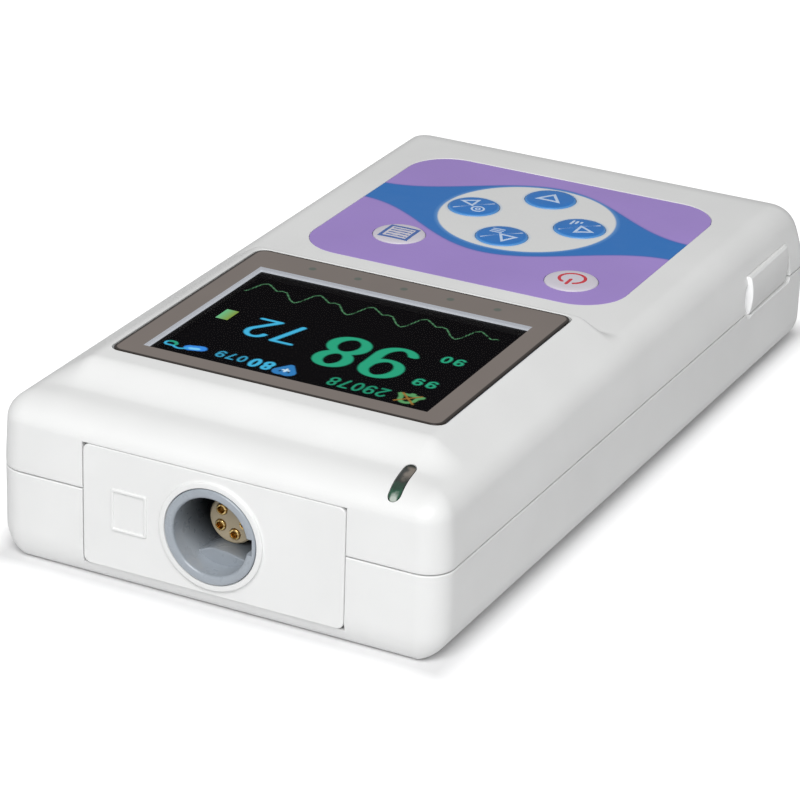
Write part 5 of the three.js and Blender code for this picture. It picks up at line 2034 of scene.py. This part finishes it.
def floor_white():
    """White floor that reaches full white for the camera; near the case its glow is held back, which paints
    shade round the case on top of its real shadow.
    """
    finish = Finish("floor_white")
    path = finish.node("LightPath").socket.node
    seen = Value(finish, path.outputs["Is Camera Ray"])
    diffuse = finish.node("BsdfDiffuse", {"Color": opaque(FLOOR_TONE)})
    x, y, _ = finish.split()
    aside = finish.math("MAXIMUM", abs(x) - HALF_X / MM, 0)
    ahead = finish.math("MAXIMUM", abs(y) - HALF_Y / MM, 0)
    # Painted shade: the floor's glow fades out close to the case's footprint
    away = 1 - finish.within(finish.math("SQRT", aside * aside + ahead * ahead), GLOW_HALF, GLOW_SOFT)
    light = finish.mix(seen * (away * 0.6 + 0.06), (0, 0, 0), (1, 1, 1))
    glow = finish.node("Emission", {"Color": light, "Strength": 1.0})
    return finish.surface(finish.node("AddShader", {0: diffuse, 1: glow}))


class OXIMETER_OT_stage(Operator):
    """Make the camera, floor and lamps."""

    bl_idname = "oximeter.stage"
    bl_label = "Stage"

    def execute(self, context):
        make_stage()
        return {"FINISHED"}


class OXIMETER_OT_housing(Operator):
    """Make the front and rear shells, the battery door and the end plate."""

    bl_idname = "oximeter.housing"
    bl_label = "Housing"

    def execute(self, context):
        make_front_shell()
        make_rear_shell()
        make_battery_door()
        make_end_panel()
        return {"FINISHED"}


class OXIMETER_OT_display(Operator):
    """Make the window, the display and its readout, and the frame round it."""

    bl_idname = "oximeter.display"
    bl_label = "Display"

    def execute(self, context):
        make_window()
        make_glass()
        make_readout()
        make_display_frame()
        return {"FINISHED"}


class OXIMETER_OT_keypad(Operator):
    """Make the printed film, the six keys and their symbols."""

    bl_idname = "oximeter.keypad"
    bl_label = "Keypad"

    def execute(self, context):
        make_film()
        for name in KEY_NAMES:
            make_key(name)
        return {"FINISHED"}


class OXIMETER_OT_socket(Operator):
    """Make the socket, its insulator and its contacts."""

    bl_idname = "oximeter.socket"
    bl_label = "Probe socket"

    def execute(self, context):
        make_socket_shell()
        make_socket_core()
        for node in CONTACTS:
            make_contact(node)
        return {"FINISHED"}


class OXIMETER_OT_port(Operator):
    """Make the port cover, the port and the lens of the lamp."""

    bl_idname = "oximeter.port"
    bl_label = "Side port and lamp"

    def execute(self, context):
        make_port_cover()
        make_port()
        make_lens()
        return {"FINISHED"}


class OXIMETER_OT_inside(Operator):
    """Make the battery and the screws, and finish the other inner parts."""

    bl_idname = "oximeter.inside"
    bl_label = "Battery and inside"

    def execute(self, context):
        make_battery()
        for node in CASE_SCREWS:
            make_screw(node)
        finish_inside()
        return {"FINISHED"}


OPERATORS = (
    OXIMETER_OT_stage, OXIMETER_OT_housing, OXIMETER_OT_display, OXIMETER_OT_keypad, OXIMETER_OT_socket,
    OXIMETER_OT_port, OXIMETER_OT_inside,
)


class OXIMETER_PT_panel(Panel):
    """Lists the pieces of the oximeter."""

    bl_label = "Oximeter"
    bl_idname = "OXIMETER_PT_panel"
    bl_space_type = "VIEW_3D"
    bl_region_type = "UI"
    bl_category = "Oximeter"

    def draw(self, context):
        for operator in OPERATORS:
            self.layout.operator(operator.bl_idname)


GROUPS = {
    "housing": HousingSizes,
    "screen": ScreenSizes,
    "keypad": KeypadSizes,
    "socket": SocketSizes,
    "finishes": FinishColours,
}


def register():
    for group in (*GROUPS.values(), *OPERATORS, OXIMETER_PT_panel):
        bpy.utils.register_class(group)
    for name, group in GROUPS.items():
        setattr(bpy.types.Scene, "oximeter_" + name, PointerProperty(type=group))


def unregister():
    for name in GROUPS:
        delattr(bpy.types.Scene, "oximeter_" + name)
    for group in (OXIMETER_PT_panel, *OPERATORS, *GROUPS.values()):
        bpy.utils.unregister_class(group)


def main():
    """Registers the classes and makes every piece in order."""
    register()
    for operator in OPERATORS:
        group, name = operator.bl_idname.split(".")
        getattr(getattr(bpy.ops, group), name)()
    {"cad": plain(CAD_BOUNDS), "visual": plain(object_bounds())}


def plain(bounds):
    """Bounds as lists of plain numbers."""
    return [[float(value) for value in corner] for corner in bounds]


if __name__ == "__main__":
    main()
